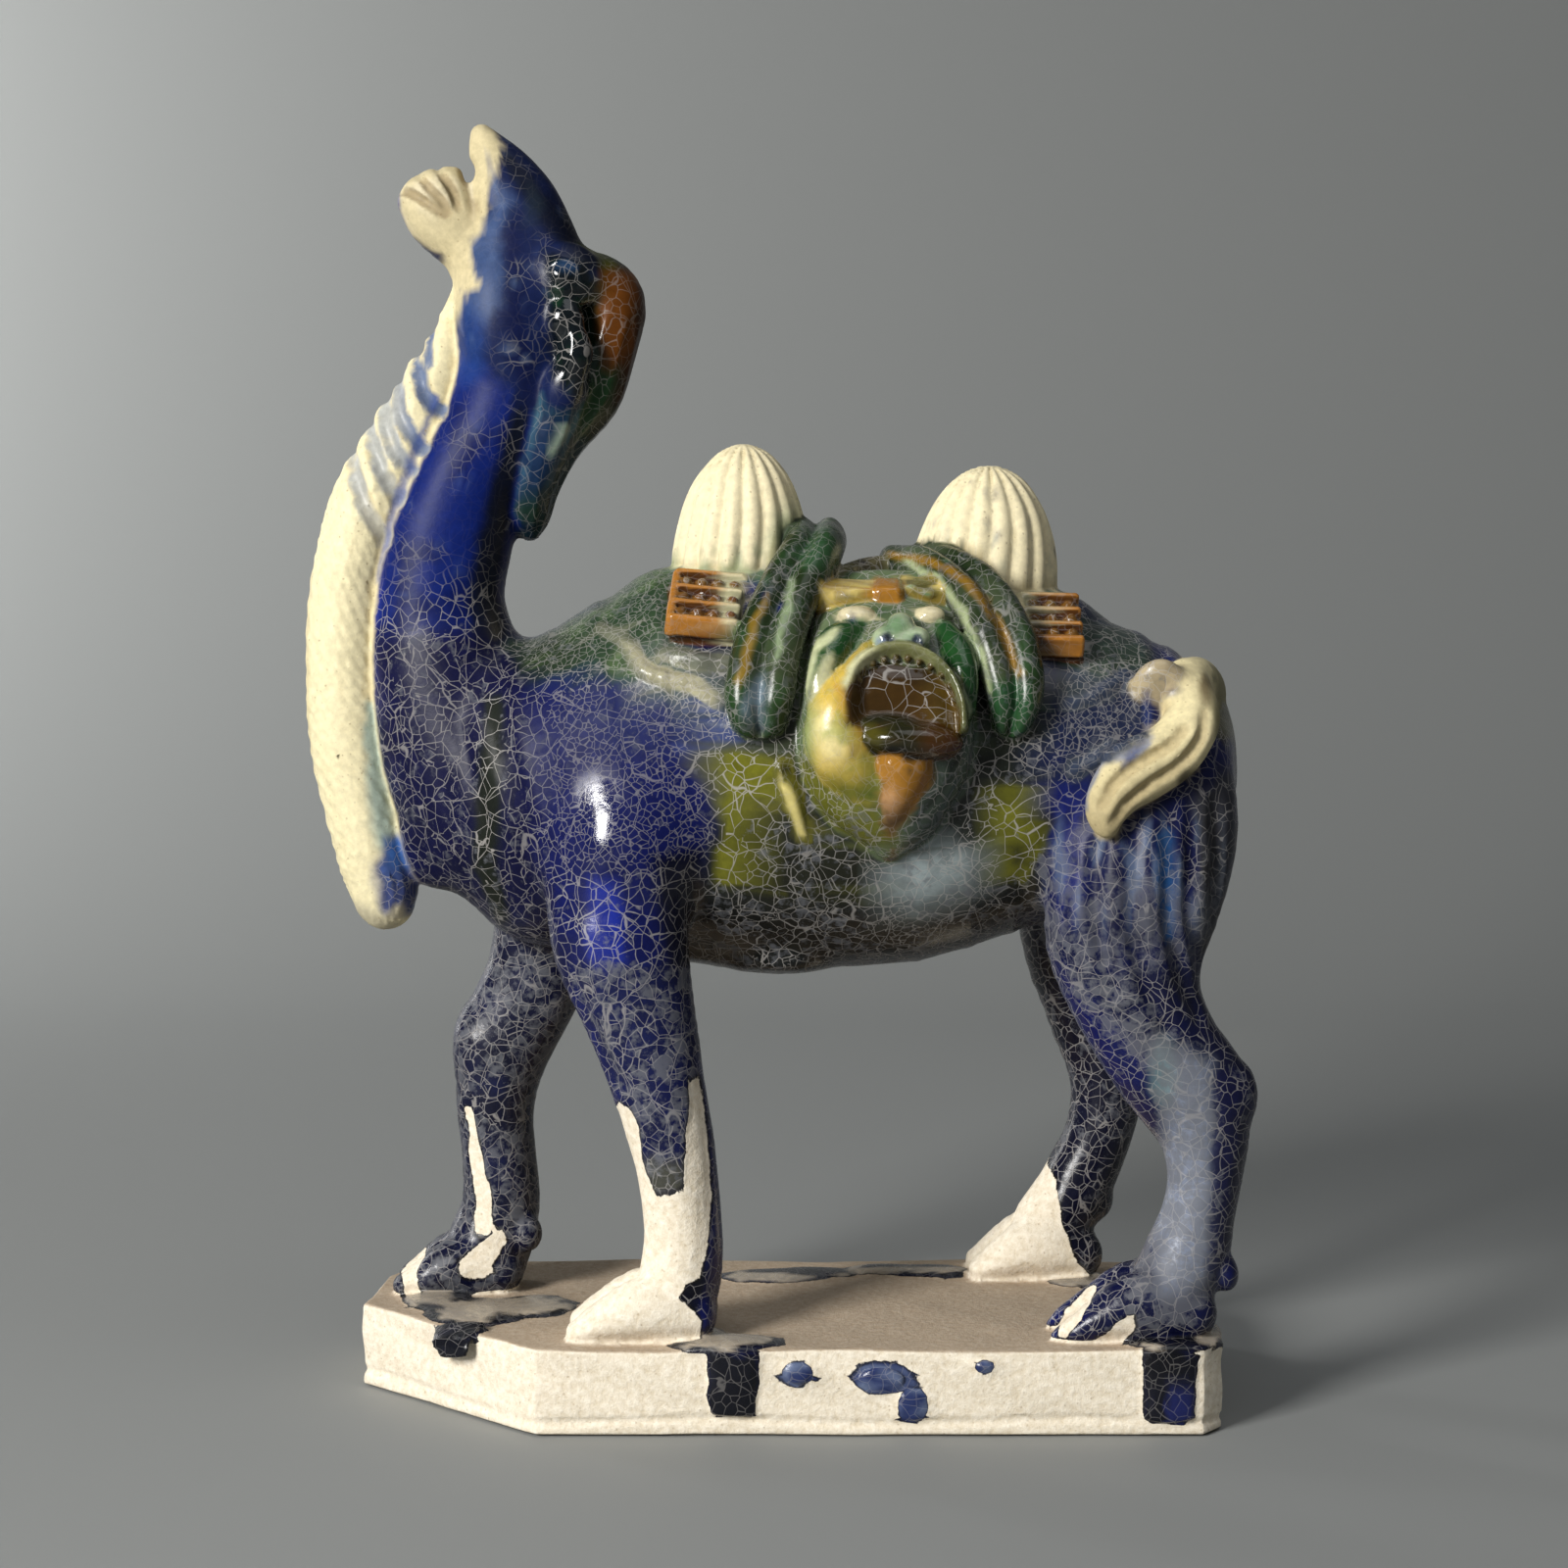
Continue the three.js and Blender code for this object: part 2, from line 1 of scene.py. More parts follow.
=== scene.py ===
import math
import bmesh
import bpy
import numpy as np
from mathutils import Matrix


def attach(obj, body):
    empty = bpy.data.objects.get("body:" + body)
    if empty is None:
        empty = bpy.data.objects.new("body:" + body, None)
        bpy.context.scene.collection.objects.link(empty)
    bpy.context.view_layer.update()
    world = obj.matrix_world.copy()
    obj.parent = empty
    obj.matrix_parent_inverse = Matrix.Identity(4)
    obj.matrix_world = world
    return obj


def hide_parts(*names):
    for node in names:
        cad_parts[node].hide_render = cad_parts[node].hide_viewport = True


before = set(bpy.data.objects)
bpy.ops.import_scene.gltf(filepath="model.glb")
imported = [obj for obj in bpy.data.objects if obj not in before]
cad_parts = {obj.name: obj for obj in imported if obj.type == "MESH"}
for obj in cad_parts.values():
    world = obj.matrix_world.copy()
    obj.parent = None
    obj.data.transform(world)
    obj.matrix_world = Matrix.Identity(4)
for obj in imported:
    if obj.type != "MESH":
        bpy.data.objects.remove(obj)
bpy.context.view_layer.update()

import openvdb
from mathutils import Matrix, Vector


# Torso
# The torso is a hollow barrel of pale clay, pressed in two half moulds and luted along the back.
# Legs, neck, hair and pack were pressed on to it while it was wet, so the camel is one skin. The
# clay is kept as a block of grains, and each grain holds how far it lies from the clay's surface.
# It is drawn in millimetres, +Z up, head towards -X, with heights from the soles.
GRAIN = 0.5
BLOCK_LOW = np.array([-107.0, -53.0, -20.0])
BLOCK_HIGH = np.array([99.0, 48.0, 263.0])
BLOCK_COUNT = np.ceil((BLOCK_HIGH - BLOCK_LOW) / GRAIN).astype(int) + 1
AIR = 12.0
clay = np.full(BLOCK_COUNT, AIR, np.float32)
forms = {}


def grains(low, high):
    """The grains in a box: their first and last numbers, and their places along x, y and z."""
    first = np.clip(np.floor((low - BLOCK_LOW) / GRAIN).astype(int), 0, BLOCK_COUNT - 2)
    last = np.clip(np.ceil((high - BLOCK_LOW) / GRAIN).astype(int) + 1, first + 1, BLOCK_COUNT)
    x, y, z = (
        (BLOCK_LOW[k] + GRAIN * np.arange(first[k], last[k])).astype(np.float32) for k in range(3)
    )
    return first, last, x[:, None, None], y[None, :, None], z[None, None, :]


def press(name, pieces, blend=1.0, cut=False):
    """Presses a form on to the clay, or cuts it out. blend is how softly the joint is thumbed over."""
    low = np.min([piece[0] for piece in pieces], axis=0) - blend
    high = np.max([piece[1] for piece in pieces], axis=0) + blend
    first, last, *_ = grains(low, high)
    shape = np.full(last - first, AIR, np.float32)
    for piece_low, piece_high, distance in pieces:
        start, end, x, y, z = grains(piece_low - blend, piece_high + blend)
        part = tuple(slice(a - f, b - f) for a, b, f in zip(start, end, first))
        np.minimum(shape[part], distance(x, y, z), out=shape[part])
    here = clay[tuple(slice(a, b) for a, b in zip(first, last))]
    other = -shape if cut else shape
    sign = -1.0 if cut else 1.0
    share = np.clip(0.5 + sign * 0.5 * (here - other) / blend, 0, 1)
    here[...] = here + (other - here) * share - sign * blend * share * (1 - share)
    forms.setdefault(name, []).extend(pieces)


def smooth_line(stations, per_span):
    """Points along a smooth line through stations of any width, spaced by the chord's root."""
    marks = np.asarray(stations, float)
    marks = np.vstack([2 * marks[0] - marks[1], marks, 2 * marks[-1] - marks[-2]])
    gaps = np.sqrt(np.maximum(np.linalg.norm(np.diff(marks[:, :3], axis=0), axis=1), 1e-3))
    t = np.linspace(0, 1, per_span, endpoint=False)[:, None]
    line = []
    for i in range(1, len(marks) - 2):
        before, here, after = gaps[i - 1], gaps[i], gaps[i + 1]
        a, b, c, d = marks[i - 1:i + 3]
        leave = ((b - a) / before - (c - a) / (before + here) + (c - b) / here) * here
        arrive = ((c - b) / here - (d - b) / (here + after) + (d - c) / after) * here
        line.append(
            (2 * t**3 - 3 * t**2 + 1) * b + (t**3 - 2 * t**2 + t) * leave
            + (3 * t**2 - 2 * t**3) * c + (t**3 - t**2) * arrive
        )
    return np.vstack([*line, marks[-2][None]])


def roll(stations, per_span=4, facing=(0, 1, 0), relief=None, proud=1.5, tip=1.0):
    """A rolled length of clay through stations [x, y, z, half thickness, half width].

    The width lies along facing. relief(turn, along, x, y, z) raises or sinks the surface."""
    line = smooth_line(stations, per_span)
    line[:, 3:5] = np.maximum(line[:, 3:5], 0.35)
    count = len(line) - 1
    pieces = []
    for index in range(count):
        a, b = line[index], line[index + 1]
        length = max(np.linalg.norm(b[:3] - a[:3]), 1e-4)
        way = (b[:3] - a[:3]) / length
        across = np.array(facing(a) if callable(facing) else facing, float)
        across -= way * across.dot(way)
        across /= np.linalg.norm(across)
        tall = np.cross(across, way)
        girth = max(a[3], a[4], b[3], b[4])
        is_end = index in (0, count - 1)
        reach = girth * (1.0 if is_end else np.minimum(1.0, np.sqrt(1 - way**2) + 0.3)) + 2.5 + proud
        low = np.minimum(a[:3], b[:3]) - reach
        high = np.maximum(a[:3], b[:3]) + reach

        def distance(x, y, z, a=a, b=b, way=way, across=across, tall=tall, length=length, index=index):
            dx, dy, dz = x - np.float32(a[0]), y - np.float32(a[1]), z - np.float32(a[2])
            way, across, tall = (np.float32(v) for v in (way, across, tall))
            run = dx * way[0] + dy * way[1] + dz * way[2]
            share = np.clip(run / np.float32(length), 0, 1)
            over = run - share * np.float32(length)
            u = dx * tall[0] + dy * tall[1] + dz * tall[2]
            v = dx * across[0] + dy * across[1] + dz * across[2]
            thick = np.float32(a[3]) + np.float32(b[3] - a[3]) * share
            wide = np.float32(a[4]) + np.float32(b[4] - a[4]) * share
            over = over / (np.minimum(thick, wide) * np.float32(tip))
            u, v = u / thick, v / wide
            size = np.sqrt(u * u + v * v + over * over)
            slope = np.sqrt((u / thick)**2 + (v / wide)**2 + (over / np.minimum(thick, wide))**2)
            away = size * (size - 1) / (slope + np.float32(1e-5))
            if relief is not None:
                away = away - relief(np.arctan2(v, u), (index + share) / count, x, y, z)
            return away.astype(np.float32)

        pieces.append((low, high, distance))
    return pieces


def turned(about_x=0.0, about_y=0.0, about_z=0.0):
    """Three axes of a form that is turned about x, then y, then z, as rows."""
    turns = Matrix.Rotation(about_z, 3, "Z") @ Matrix.Rotation(about_y, 3, "Y")
    return np.array((turns @ Matrix.Rotation(about_x, 3, "X")).transposed(), np.float32)


def lump(centre, half, axes=None):
    """A rounded lump of clay with these half sizes along its axes."""
    axes = np.eye(3, dtype=np.float32) if axes is None else axes
    centre, half = np.array(centre, np.float32), np.array(half, np.float32)
    reach = np.abs(axes.T) @ half + 2.5

    def distance(x, y, z):
        dx, dy, dz = x - centre[0], y - centre[1], z - centre[2]
        near, far = 0, 0
        for axis, size in zip(axes, half):
            along = (dx * axis[0] + dy * axis[1] + dz * axis[2]) / size
            near = near + along * along
            far = far + (along / size)**2
        near, far = np.sqrt(near), np.sqrt(far)
        return (near * (near - 1) / (far + np.float32(1e-5))).astype(np.float32)

    return [(centre - reach, centre + reach, distance)]


TORSO = [
    [-74, 0, 110, 15, 16],
    [-60, 0, 114, 29, 27],
    [-45, 0, 118, 34, 33],
    [-25, 0, 121.5, 41, 35.5],
    [0, 0, 120, 43.4, 36.5],
    [25, 0, 120.5, 43.0, 36.5],
    [45, 0, 121.5, 38.0, 35],
    [65, 0, 121, 33, 33.5],
    [80, 0, 120.5, 27, 29],
    [89, 0, 120.5, 21, 23],
]
NEAR, FAR = -1, 1


def flank_at(x, z):
    """How far out the torso's side stands at a place on it."""
    middle, tall, wide = (np.interp(x, [s[0] for s in TORSO], [s[k] for s in TORSO]) for k in (2, 3, 4))
    rise = min(1.0, abs(z - middle) / tall)
    return wide * math.sqrt(1 - rise * rise)


def out_of_torso(at):
    """Straight out of the torso, for cloth and straps that lie on it."""
    return (0.0, at[1], at[2] - 119.0)


press("torso", roll(TORSO, 2, tip=0.4), 1.0)
for side in (NEAR, FAR):
    press("shoulder", lump((-35, side * 27.6, 105), (15, 12.5, 16.5), turned(about_y=0.1)), 6.5)
press("belly", roll([[-26, 0, 81.6, 3, 9], [-12, 0, 80, 3, 10]]), 6.0)
press("belly", lump((-2, -6, 79), (8, 12, 3)), 5.0)
press("chest", lump((-79.6, 0, 103.2), (8.3, 8, 9)), 4.0)


# Neck and head
# The neck and head were pressed in the same moulds and stuck on the chest. The head is thrown back
# and its mouth is open, so the upper lip points straight up and the lower jaw lies in front of it.
press("neck", roll([
    [-54, 0, 100, 19, 20],
    [-67, 0, 118, 22, 20],
    [-75, 0, 136, 18.5, 17],
    [-78.4, 0, 156, 15, 13.5],
    [-76.0, 0, 171, 14.4, 12.5],
    [-71.5, 0, 184, 13, 12],
    [-65, 0, 195, 13, 12],
    [-60.5, 0, 207, 14, 12.5],
    [-59.5, 0, 220, 15.2, 13.5],
    [-59.8, 0, 231, 14.2, 11.5],
    [-60.2, 0, 240, 11.0, 8.6],
    [-62.5, 0, 247, 8.7, 7.2],
    [-64.4, 0, 251.6, 6.1, 6.2],
    [-66.6, 0, 255.8, 3.9, 5.0],
    [-67.8, 0, 258.4, 2.4, 3.6],
], 7), 6.0)
press("jaw", roll([
    [-66.6, 0, 226.6, 5.2, 7],
    [-70.8, 0, 233.8, 6.3, 7.4],
    [-76.0, 0, 240.8, 8.1, 8],
    [-77.8, 0, 245.6, 8.9, 7.6],
], tip=0.75), 2.2)
MOUTH_GAP = [[-70.6, -12, 250.4, 1.5, 2.4], [-70.8, 12, 250.4, 1.5, 2.4]]
press("mouth", roll(MOUTH_GAP, facing=(0, 0, 1)), 1.6, cut=True)
for side in (NEAR, FAR):
    press("mouth", lump((-71.6, side * 10.4, 243.2), (2.6, 3.4, 4.4), turned(about_y=0.35)), 1.6, cut=True)
for side in (NEAR, FAR):
    press("brow", lump((-49.4, side * 9.2, 227.0), (7.4, 4.6, 7.6)), 2.4)
    press("eye", lump((-49.4, side * 12.6, 226.8), (2.9, 1.9, 2.3), turned(about_y=0.3)), 0.7)
    press("eyelid", roll([
        [-53.4, side * 11.8, 226.4, 0.8, 0.8],
        [-50.6, side * 13.5, 229.5, 1.0, 1.0],
        [-46.8, side * 13.2, 228.4, 1.0, 1.0],
        [-45.4, side * 12.2, 225.0, 0.7, 0.7],
    ]), 0.8)
    press("eyelid", roll([
        [-53.4, side * 11.8, 226.4, 0.7, 0.7],
        [-50.0, side * 13.4, 223.8, 0.8, 0.8],
        [-45.4, side * 12.2, 225.0, 0.6, 0.6],
    ]), 0.8)
    press("ear", lump((-49.0, side * 12.2, 217.4), (4.0, 2.9, 4.4), turned(about_y=-0.4)), 2.4)
    press("ear", lump((-46.9, side * 12.4, 210.2), (3.9, 3.2, 5.2), turned(about_y=0.1)), 2.4)
    press("ear", lump((-49.2, side * 11.4, 203.2), (4.0, 2.9, 5.0), turned(about_y=0.4)), 2.8)
    press("ear_hollow", lump((-49.6, side * 16.0, 211), (1.2, 1.8, 5.6), turned(about_y=0.2)), 1.6, cut=True)
    press("cheek", lump((-62.5, side * 9.0, 218), (8.5, 4.6, 12), turned(about_y=-0.15)), 4.0)


# Hair of the crown and throat
# Thick strips of clay were laid over the crown and down the throat and combed with a stick into
# locks. The crown's strip ends in a free lock behind the neck, the throat's in a blunt beard.
press("crown", roll([
    [-50, 0, 227.2, 6.0, 9],
    [-43.4, 0, 226.2, 7.0, 9.6],
    [-39.3, 0, 222.6, 7.0, 9.4],
    [-41.4, 0, 211, 6.8, 9.0],
    [-44.5, 0, 202, 6.8, 8.6],
    [-51.2, 0, 192, 5.4, 7.6],
    [-55.2, 0, 182.5, 4.3, 5.8],
    [-57.2, 0, 175.4, 3.7, 4.6],
    [-57.6, 0, 172.6, 2.4, 3.2],
], relief=lambda turn, along, x, y, z: -0.35 * np.abs(np.sin(turn * 5 + along * 3)) * (along > 0.3)), 4.0)
for side in (NEAR, FAR):
    press("side_lock", roll([
        [-49.0, side * 10.2, 204, 3.6, 2.6],
        [-52.2, side * 8.8, 195, 3.8, 2.8],
        [-56.2, side * 6.0, 184, 3.2, 2.6],
        [-58.2, side * 3.6, 176, 2.2, 2.4],
    ], relief=lambda turn, along, x, y, z: -0.3 * np.abs(np.sin(turn * 3 + along * 4))), 3.4)

FRINGE = [
    [-73.5, 0, 224, 2, 3],
    [-76.6, 0, 211, 5.1, 5.5],
    [-80.6, 0, 201, 7.6, 7],
    [-85.0, 0, 192, 8.8, 8],
    [-92.1, 0, 179, 9.2, 9],
    [-97.0, 0, 164, 8.6, 9.5],
    [-98.6, 0, 148, 8.8, 9.5],
    [-97.7, 0, 127, 9.1, 9.5],
    [-94.8, 0, 110, 8.4, 9],
    [-91.2, 0, 96, 8.0, 8],
    [-90.4, 0, 91, 6.4, 7],
    [-90.4, 0, 88.4, 3.8, 4],
]
COMB_LINES = 46.0


def combed(turn, along, x, y, z):
    """Fine strokes of the comb, from the front edge down and back."""
    comb = along * COMB_LINES + 3.4 * np.cos(turn) + 0.5 * np.sin(along * 31.0)
    return 0.18 - 0.34 * np.abs(np.cos(comb * math.pi)) * np.clip(along * 5 - 0.6, 0.3, 1)


press("fringe", roll(FRINGE, 5, relief=combed), 1.2)


# Humps
# Two humps stand on the back, each a dome that was fluted with a rounded tool from base to crown.
HUMPS = [(-11.8, 165, 26.4, 14.6, 13.8), (42.0, 160.5, 26.2, 15.9, 13.8)]
HUMP_FLUTES = 18
FLUTE_DEPTH = 1.1


def hump(x0, base, height, half_length, half_width):
    """A dome on a short upright wall, fluted all round."""
    low = np.array([x0 - half_length - 4, -half_width - 4, base - 12.0])
    high = np.array([x0 + half_length + 4, half_width + 4, base + height + 4])

    def distance(x, y, z):
        lean = (z - base) * 0.04
        u, v = (x - x0 - lean) / half_length, y / half_width
        w = np.maximum(z - base, 0) / height
        size = np.sqrt(u * u + v * v + w * w)
        slope = np.sqrt((u / half_length)**2 + (v / half_width)**2 + (w / height)**2)
        turn = np.arctan2(v, u)
        fade = np.clip(1.15 - 0.5 * w, 0.2, 1)
        ridge = np.abs(np.cos(turn * HUMP_FLUTES / 2 + 0.35 * np.sin(z * 0.17))) - 0.7
        return (size * (size - 1) / (slope + 1e-5) - FLUTE_DEPTH * fade * ridge).astype(np.float32)

    return [(low, high, distance)]


for place in HUMPS:
    press("saddle", lump((place[0], 0, place[1] - 7), (23.5, 17, 8.5)), 5.0)
    press("hump", hump(*place), 0.8)
press("saddle", roll([[-50, 0, 139.8, 7, 12], [-40, 0, 147.7, 7, 15], [-30, 0, 154.4, 7, 16]]), 4.0)


# Legs and feet
# The legs are solid rolls of clay. They were pinched at knee and hock, given two broad toes each,
# and pressed down on to the wet slab, so that their soles sank in a little.
NEAR_FRONT_Y, FAR_FRONT_Y, NEAR_HIND_Y, FAR_HIND_Y = -28, 15, -28, 29
LEGS = {
    "near_front": [
        [-41, -20, 114, 15, 12],
        [-38, -25, 98, 15.4, 12],
        [-36.5, -28, 84, 14.4, 12],
        [-33.3, -28, 72, 12.3, 11],
        [-30, -28, 59.5, 10.4, 10],
        [-27.5, -28, 48.5, 9.6, 9.6],
        [-25.3, -28, 38, 8.8, 9],
        [-23.8, -28, 23, 8.5, 8.8],
        [-24.4, -28, 13, 9.0, 9.2],
        [-26.5, -28, 5, 8.6, 9.6],
    ],
    "far_front": [
        [-50, 11, 102, 14, 12],
        [-55.5, 13, 86, 11.5, 11],
        [-58.5, 15, 72, 11.5, 10.6],
        [-65.5, 15, 57, 10.8, 10.2],
        [-67.8, 15, 43, 8.8, 9],
        [-67, 15, 31, 8.4, 8.6],
        [-66.8, 15, 19, 9, 8.8],
        [-69.5, 15, 10, 9.6, 9.4],
        [-71.5, 15, 5, 8.6, 9.6],
    ],
    "near_hind": [
        [74, -19, 124, 19, 13],
        [74.9, -23, 110, 20.0, 14],
        [72.4, -27, 96, 19.0, 13.6],
        [70.6, -28, 85, 16.9, 13],
        [73.0, -28, 73, 13.8, 11.6],
        [78.8, -28, 61.5, 12.6, 10.4],
        [85.2, -28, 52.5, 12.2, 9.4],
        [87.6, -28, 44, 9.6, 8.6],
        [87.8, -28, 35, 8, 8],
        [86.6, -28, 27, 7.8, 7.8],
        [84.5, -28, 19, 8.8, 8.4],
        [80.5, -28, 10, 9, 9.4],
        [77.5, -28, 5, 8.6, 9.6],
    ],
    "far_hind": [
        [68, 19, 116, 18, 13],
        [68.5, 24, 98, 17, 13.5],
        [68.0, 27, 82, 15.6, 12.4],
        [70.6, 29, 64, 12.2, 10.6],
        [73.4, 29, 47.5, 9.0, 9],
        [71.4, 29, 34, 7.8, 8.2],
        [66.4, 29, 22.5, 8.4, 8.6],
        [60.5, 29, 12, 9.2, 9.4],
        [57, 29, 5, 8.6, 9.8],
    ],
}
for name, stations in LEGS.items():
    press(name, roll(stations, 4), 5.0 if "hind" in name else 4.0)
press("near_hind", lump((95.0, NEAR_HIND_Y, 53), (3.2, 4.0, 5.0)), 4.0)
press("spur", lump((91.5, NEAR_HIND_Y, 14.5), (3.6, 5.0, 4.8), turned(about_y=-0.4)), 1.5)
press("spur", lump((70.6, FAR_HIND_Y, 18), (4, 5, 5)), 1.5)
press("far_front", lump((-71.8, FAR_FRONT_Y - 1, 57), (4.6, 7, 8)), 4.0)
press("spur", lump((-60.2, FAR_FRONT_Y - 5, 14), (3.4, 3.6, 4.2)), 1.5)

FEET = {
    "near_front": (-48.5, -17.5, NEAR_FRONT_Y, 14),
    "far_front": (-90.5, -62.5, FAR_FRONT_Y, 13),
    "near_hind": (57, 88.5, NEAR_HIND_Y, 15),
    "far_hind": (41, 70, FAR_HIND_Y, 15),
}
for name, (tip, heel, y, height) in FEET.items():
    length = heel - tip
    for side in (NEAR, FAR):
        press(name, roll([
            [heel - length * 0.14, y + side * 4, height * 0.40, height * 0.40, 6],
            [heel - length * 0.42, y + side * 5, height * 0.52, height * 0.52, 6.4],
            [heel - length * 0.72, y + side * 5.2, height * 0.34, height * 0.34, 5.8],
            [heel - length * 0.92, y + side * 5.4, height * 0.17, height * 0.19, 4.4],
        ], 4), 1.6)
    press("toe_gap", roll([
        [heel - length * 0.55, y, height * 0.95, 1.4, 0.8],
        [heel - length * 0.80, y, height * 0.55, 1.8, 0.8],
        [heel - length * 1.02, y, height * 0.15, 2.4, 0.9],
    ]), 1.6, cut=True)
for y_toe in (-6.4, 4.6):
    press("claw", roll([
        [63, NEAR_HIND_Y + y_toe, 5.0, 3.0, 3.4],
        [58.5, NEAR_HIND_Y + y_toe, 3.0, 2.2, 2.8],
        [55.6, NEAR_HIND_Y + y_toe, 1.6, 1.0, 1.4],
    ]), 0.9)


# Tail
# The tail is a roll of clay that comes round the rump and curls in an S on the near thigh. It was
# scored along its length, and the thigh under it was combed with upright strokes.
press("tail", roll([
    [88, -2, 136.8, 7.2, 8],
    [86.6, -13, 138.2, 6.0, 7],
    [83.4, -23, 138.8, 5.6, 5.6],
    [84.0, -30.5, 132.6, 5.8, 5],
    [79.8, -34.6, 126.6, 6.4, 4.8],
    [73.6, -37, 122.8, 6.7, 4.6],
    [68.0, -38.6, 119.0, 6.0, 4.4],
    [65.2, -39, 114.4, 4.6, 4.0],
    [65.0, -38.8, 110.8, 2.8, 3.0],
], 6, facing=out_of_torso), 1.0)
press("tail_web", lump((77.4, -26.0, 137.6), (6.2, 3.4, 8.4), turned(about_x=0.5)), 3.0)


def surface(x, z, side):
    """Where the clay's surface stands on one side of the figure, and which way it faces there."""
    i, k = ((np.array([x, z]) - BLOCK_LOW[[0, 2]]) / GRAIN).round().astype(int)
    i, k = np.clip(i, 1, BLOCK_COUNT[0] - 2), np.clip(k, 1, BLOCK_COUNT[2] - 2)
    column = clay[i, :, k] < 0
    if not column.any():
        return np.array([x, 0.0, z]), np.array([0.0, side, 0.0])
    j = int(np.argmax(column)) if side < 0 else int(len(column) - 1 - np.argmax(column[::-1]))
    j = int(np.clip(j, 1, BLOCK_COUNT[1] - 2))
    out = np.array([clay[i + 1, j, k] - clay[i - 1, j, k], clay[i, j + 1, k] - clay[i, j - 1, k],
                    clay[i, j, k + 1] - clay[i, j, k - 1]], float)
    return np.array([x, BLOCK_LOW[1] + GRAIN * j, z]), out / max(np.linalg.norm(out), 1e-6)


def tool_marks(name, paths, side, radius, depth, raised=False, blend=0.8, per_span=6):
    """Grooves or raised lines of this depth that follow the clay's surface. paths are in x and z."""
    for path in paths:
        line = smooth_line([[x, 0.0, z] for x, z in path], per_span)
        stations = []
        for number, (x, _, z) in enumerate(line):
            spot, out = surface(x, z, side)
            fade = min(1.0, 0.35 + 2.2 * min(number, len(line) - 1 - number) / len(line))
            lift = -(radius - depth * fade) if raised else radius - depth * fade
            stations.append([*(spot + out * lift), radius, radius])
        press(name, roll(stations, 1, facing=(0.3, 0.2, 1)), blend, cut=not raised)


THIGH_STROKES = [
    [[63.5, 106], [62.5, 96], [64, 86], [67, 76]],
    [[71, 109], [70.4, 98], [71.2, 88], [74, 77], [78, 68]],
    [[78.9, 113], [78.4, 101], [78.8, 90], [81.4, 79], [85, 70]],
    [[83.4, 115], [83.2, 103], [83, 92], [85.4, 82]],
    [[88.8, 115], [89.2, 103], [88.4, 92]],
]
tool_marks("stroke", THIGH_STROKES, NEAR, 2.2, 1.3, blend=1.6)
tool_marks("stroke", THIGH_STROKES, FAR, 2.0, 0.9, blend=1.6)
tool_marks("stroke", [
    [[-47, 84], [-45, 74], [-41, 64], [-37, 56]],
], NEAR, 2.4, 0.4, blend=2.4)
TAIL_STROKES = [
    [[85.8, 134], [84.8, 129.0], [80.2, 123.6], [73.6, 119.4], [68.6, 115.4], [66.2, 111.8]],
    [[81.6, 131.0], [78.0, 127.4], [72.0, 124.2], [66.4, 119.8], [63.8, 115.0]],
]
tool_marks("tail_stroke", TAIL_STROKES, NEAR, 1.0, 1.1, blend=1.2)
JAW_STROKES = [
    [[-85.7, 246.2], [-83.8, 245.7], [-79.7, 243.4], [-75.5, 240.6]],
    [[-81.6, 249.8], [-78.4, 245.9], [-75.9, 243.4], [-74.3, 241.0]],
    [[-77.6, 251.4], [-75.1, 247.8], [-73.5, 245], [-72.6, 241.9]],
]
LOCK_STROKES = [
    [[-75.9, 225.6], [-78.4, 218.6], [-79.9, 212.6], [-79.4, 208.6]],
    [[-82.6, 213.4], [-81.4, 206.6], [-79.2, 201.0], [-75.4, 197.4]],
    [[-86.4, 208.4], [-86.3, 202.1], [-84.8, 196.1], [-80.8, 190.6]],
    [[-89.4, 203.4], [-88.8, 196.6], [-87.1, 190.6], [-83.2, 185.6]],
    [[-93.4, 198.2], [-91.4, 190.6], [-88.6, 184.6], [-85.4, 179.1]],
    [[-97.2, 192.6], [-95.3, 184.1], [-92.3, 177.1], [-88.8, 170.1]],
]
for side in (NEAR, FAR):
    tool_marks("jaw_stroke", JAW_STROKES, side, 0.9, 0.9, blend=0.9)
    tool_marks("lock_stroke", LOCK_STROKES, side, 1.5, 1.1, blend=1.6)


# Cloth rolls and slatted boards of the pack
# Two rolls of cloth lie over the back, one before and one behind the bag, each with a groove along
# it. In front and behind hang boards with raised slats and, between the slats, rows of round studs.
def cloth_fold(turn, along, x, y, z):
    """A groove down the middle of the roll, with a lip on each side."""
    outward = np.arctan2(np.sin(turn - math.pi / 2), np.cos(turn - math.pi / 2))
    return 0.6 - 2.7 * np.exp(-(outward / 0.36)**2) * np.clip(1.2 - along * 0.3, 0, 1)


for side in (NEAR, FAR):
    front = [
        [5, 0, 170.4, 5.9, 5.5],
        [4, side * 14, 168.0, 6.2, 5],
        [-1.6, side * 25.5, 157.8, 6.4, 4.6],
        [-5.8, side * 33, 146, 6.8, 4.4],
        [-7.2, side * 36.5, 137.0, 6.8, 4],
        [-7.2, side * 36.8, 132.8, 5.4, 3.6],
    ]
    back = [
        [24.5, 0, 165.4, 5.4, 4.5],
        [31, side * 12, 164.6, 5.2, 4.8],
        [39, side * 23.5, 158.8, 6.2, 4.8],
        [44.2, side * 31.5, 148, 6.6, 4.6],
        [46.2, side * 35.5, 137.5, 5.4, 4.2],
        [45.6, side * 35.5, 132.6, 3.6, 3.2],
    ]
    for stations in (front, back):
        press("cloth", roll(stations, 5, facing=out_of_torso, relief=cloth_fold), 0.9)

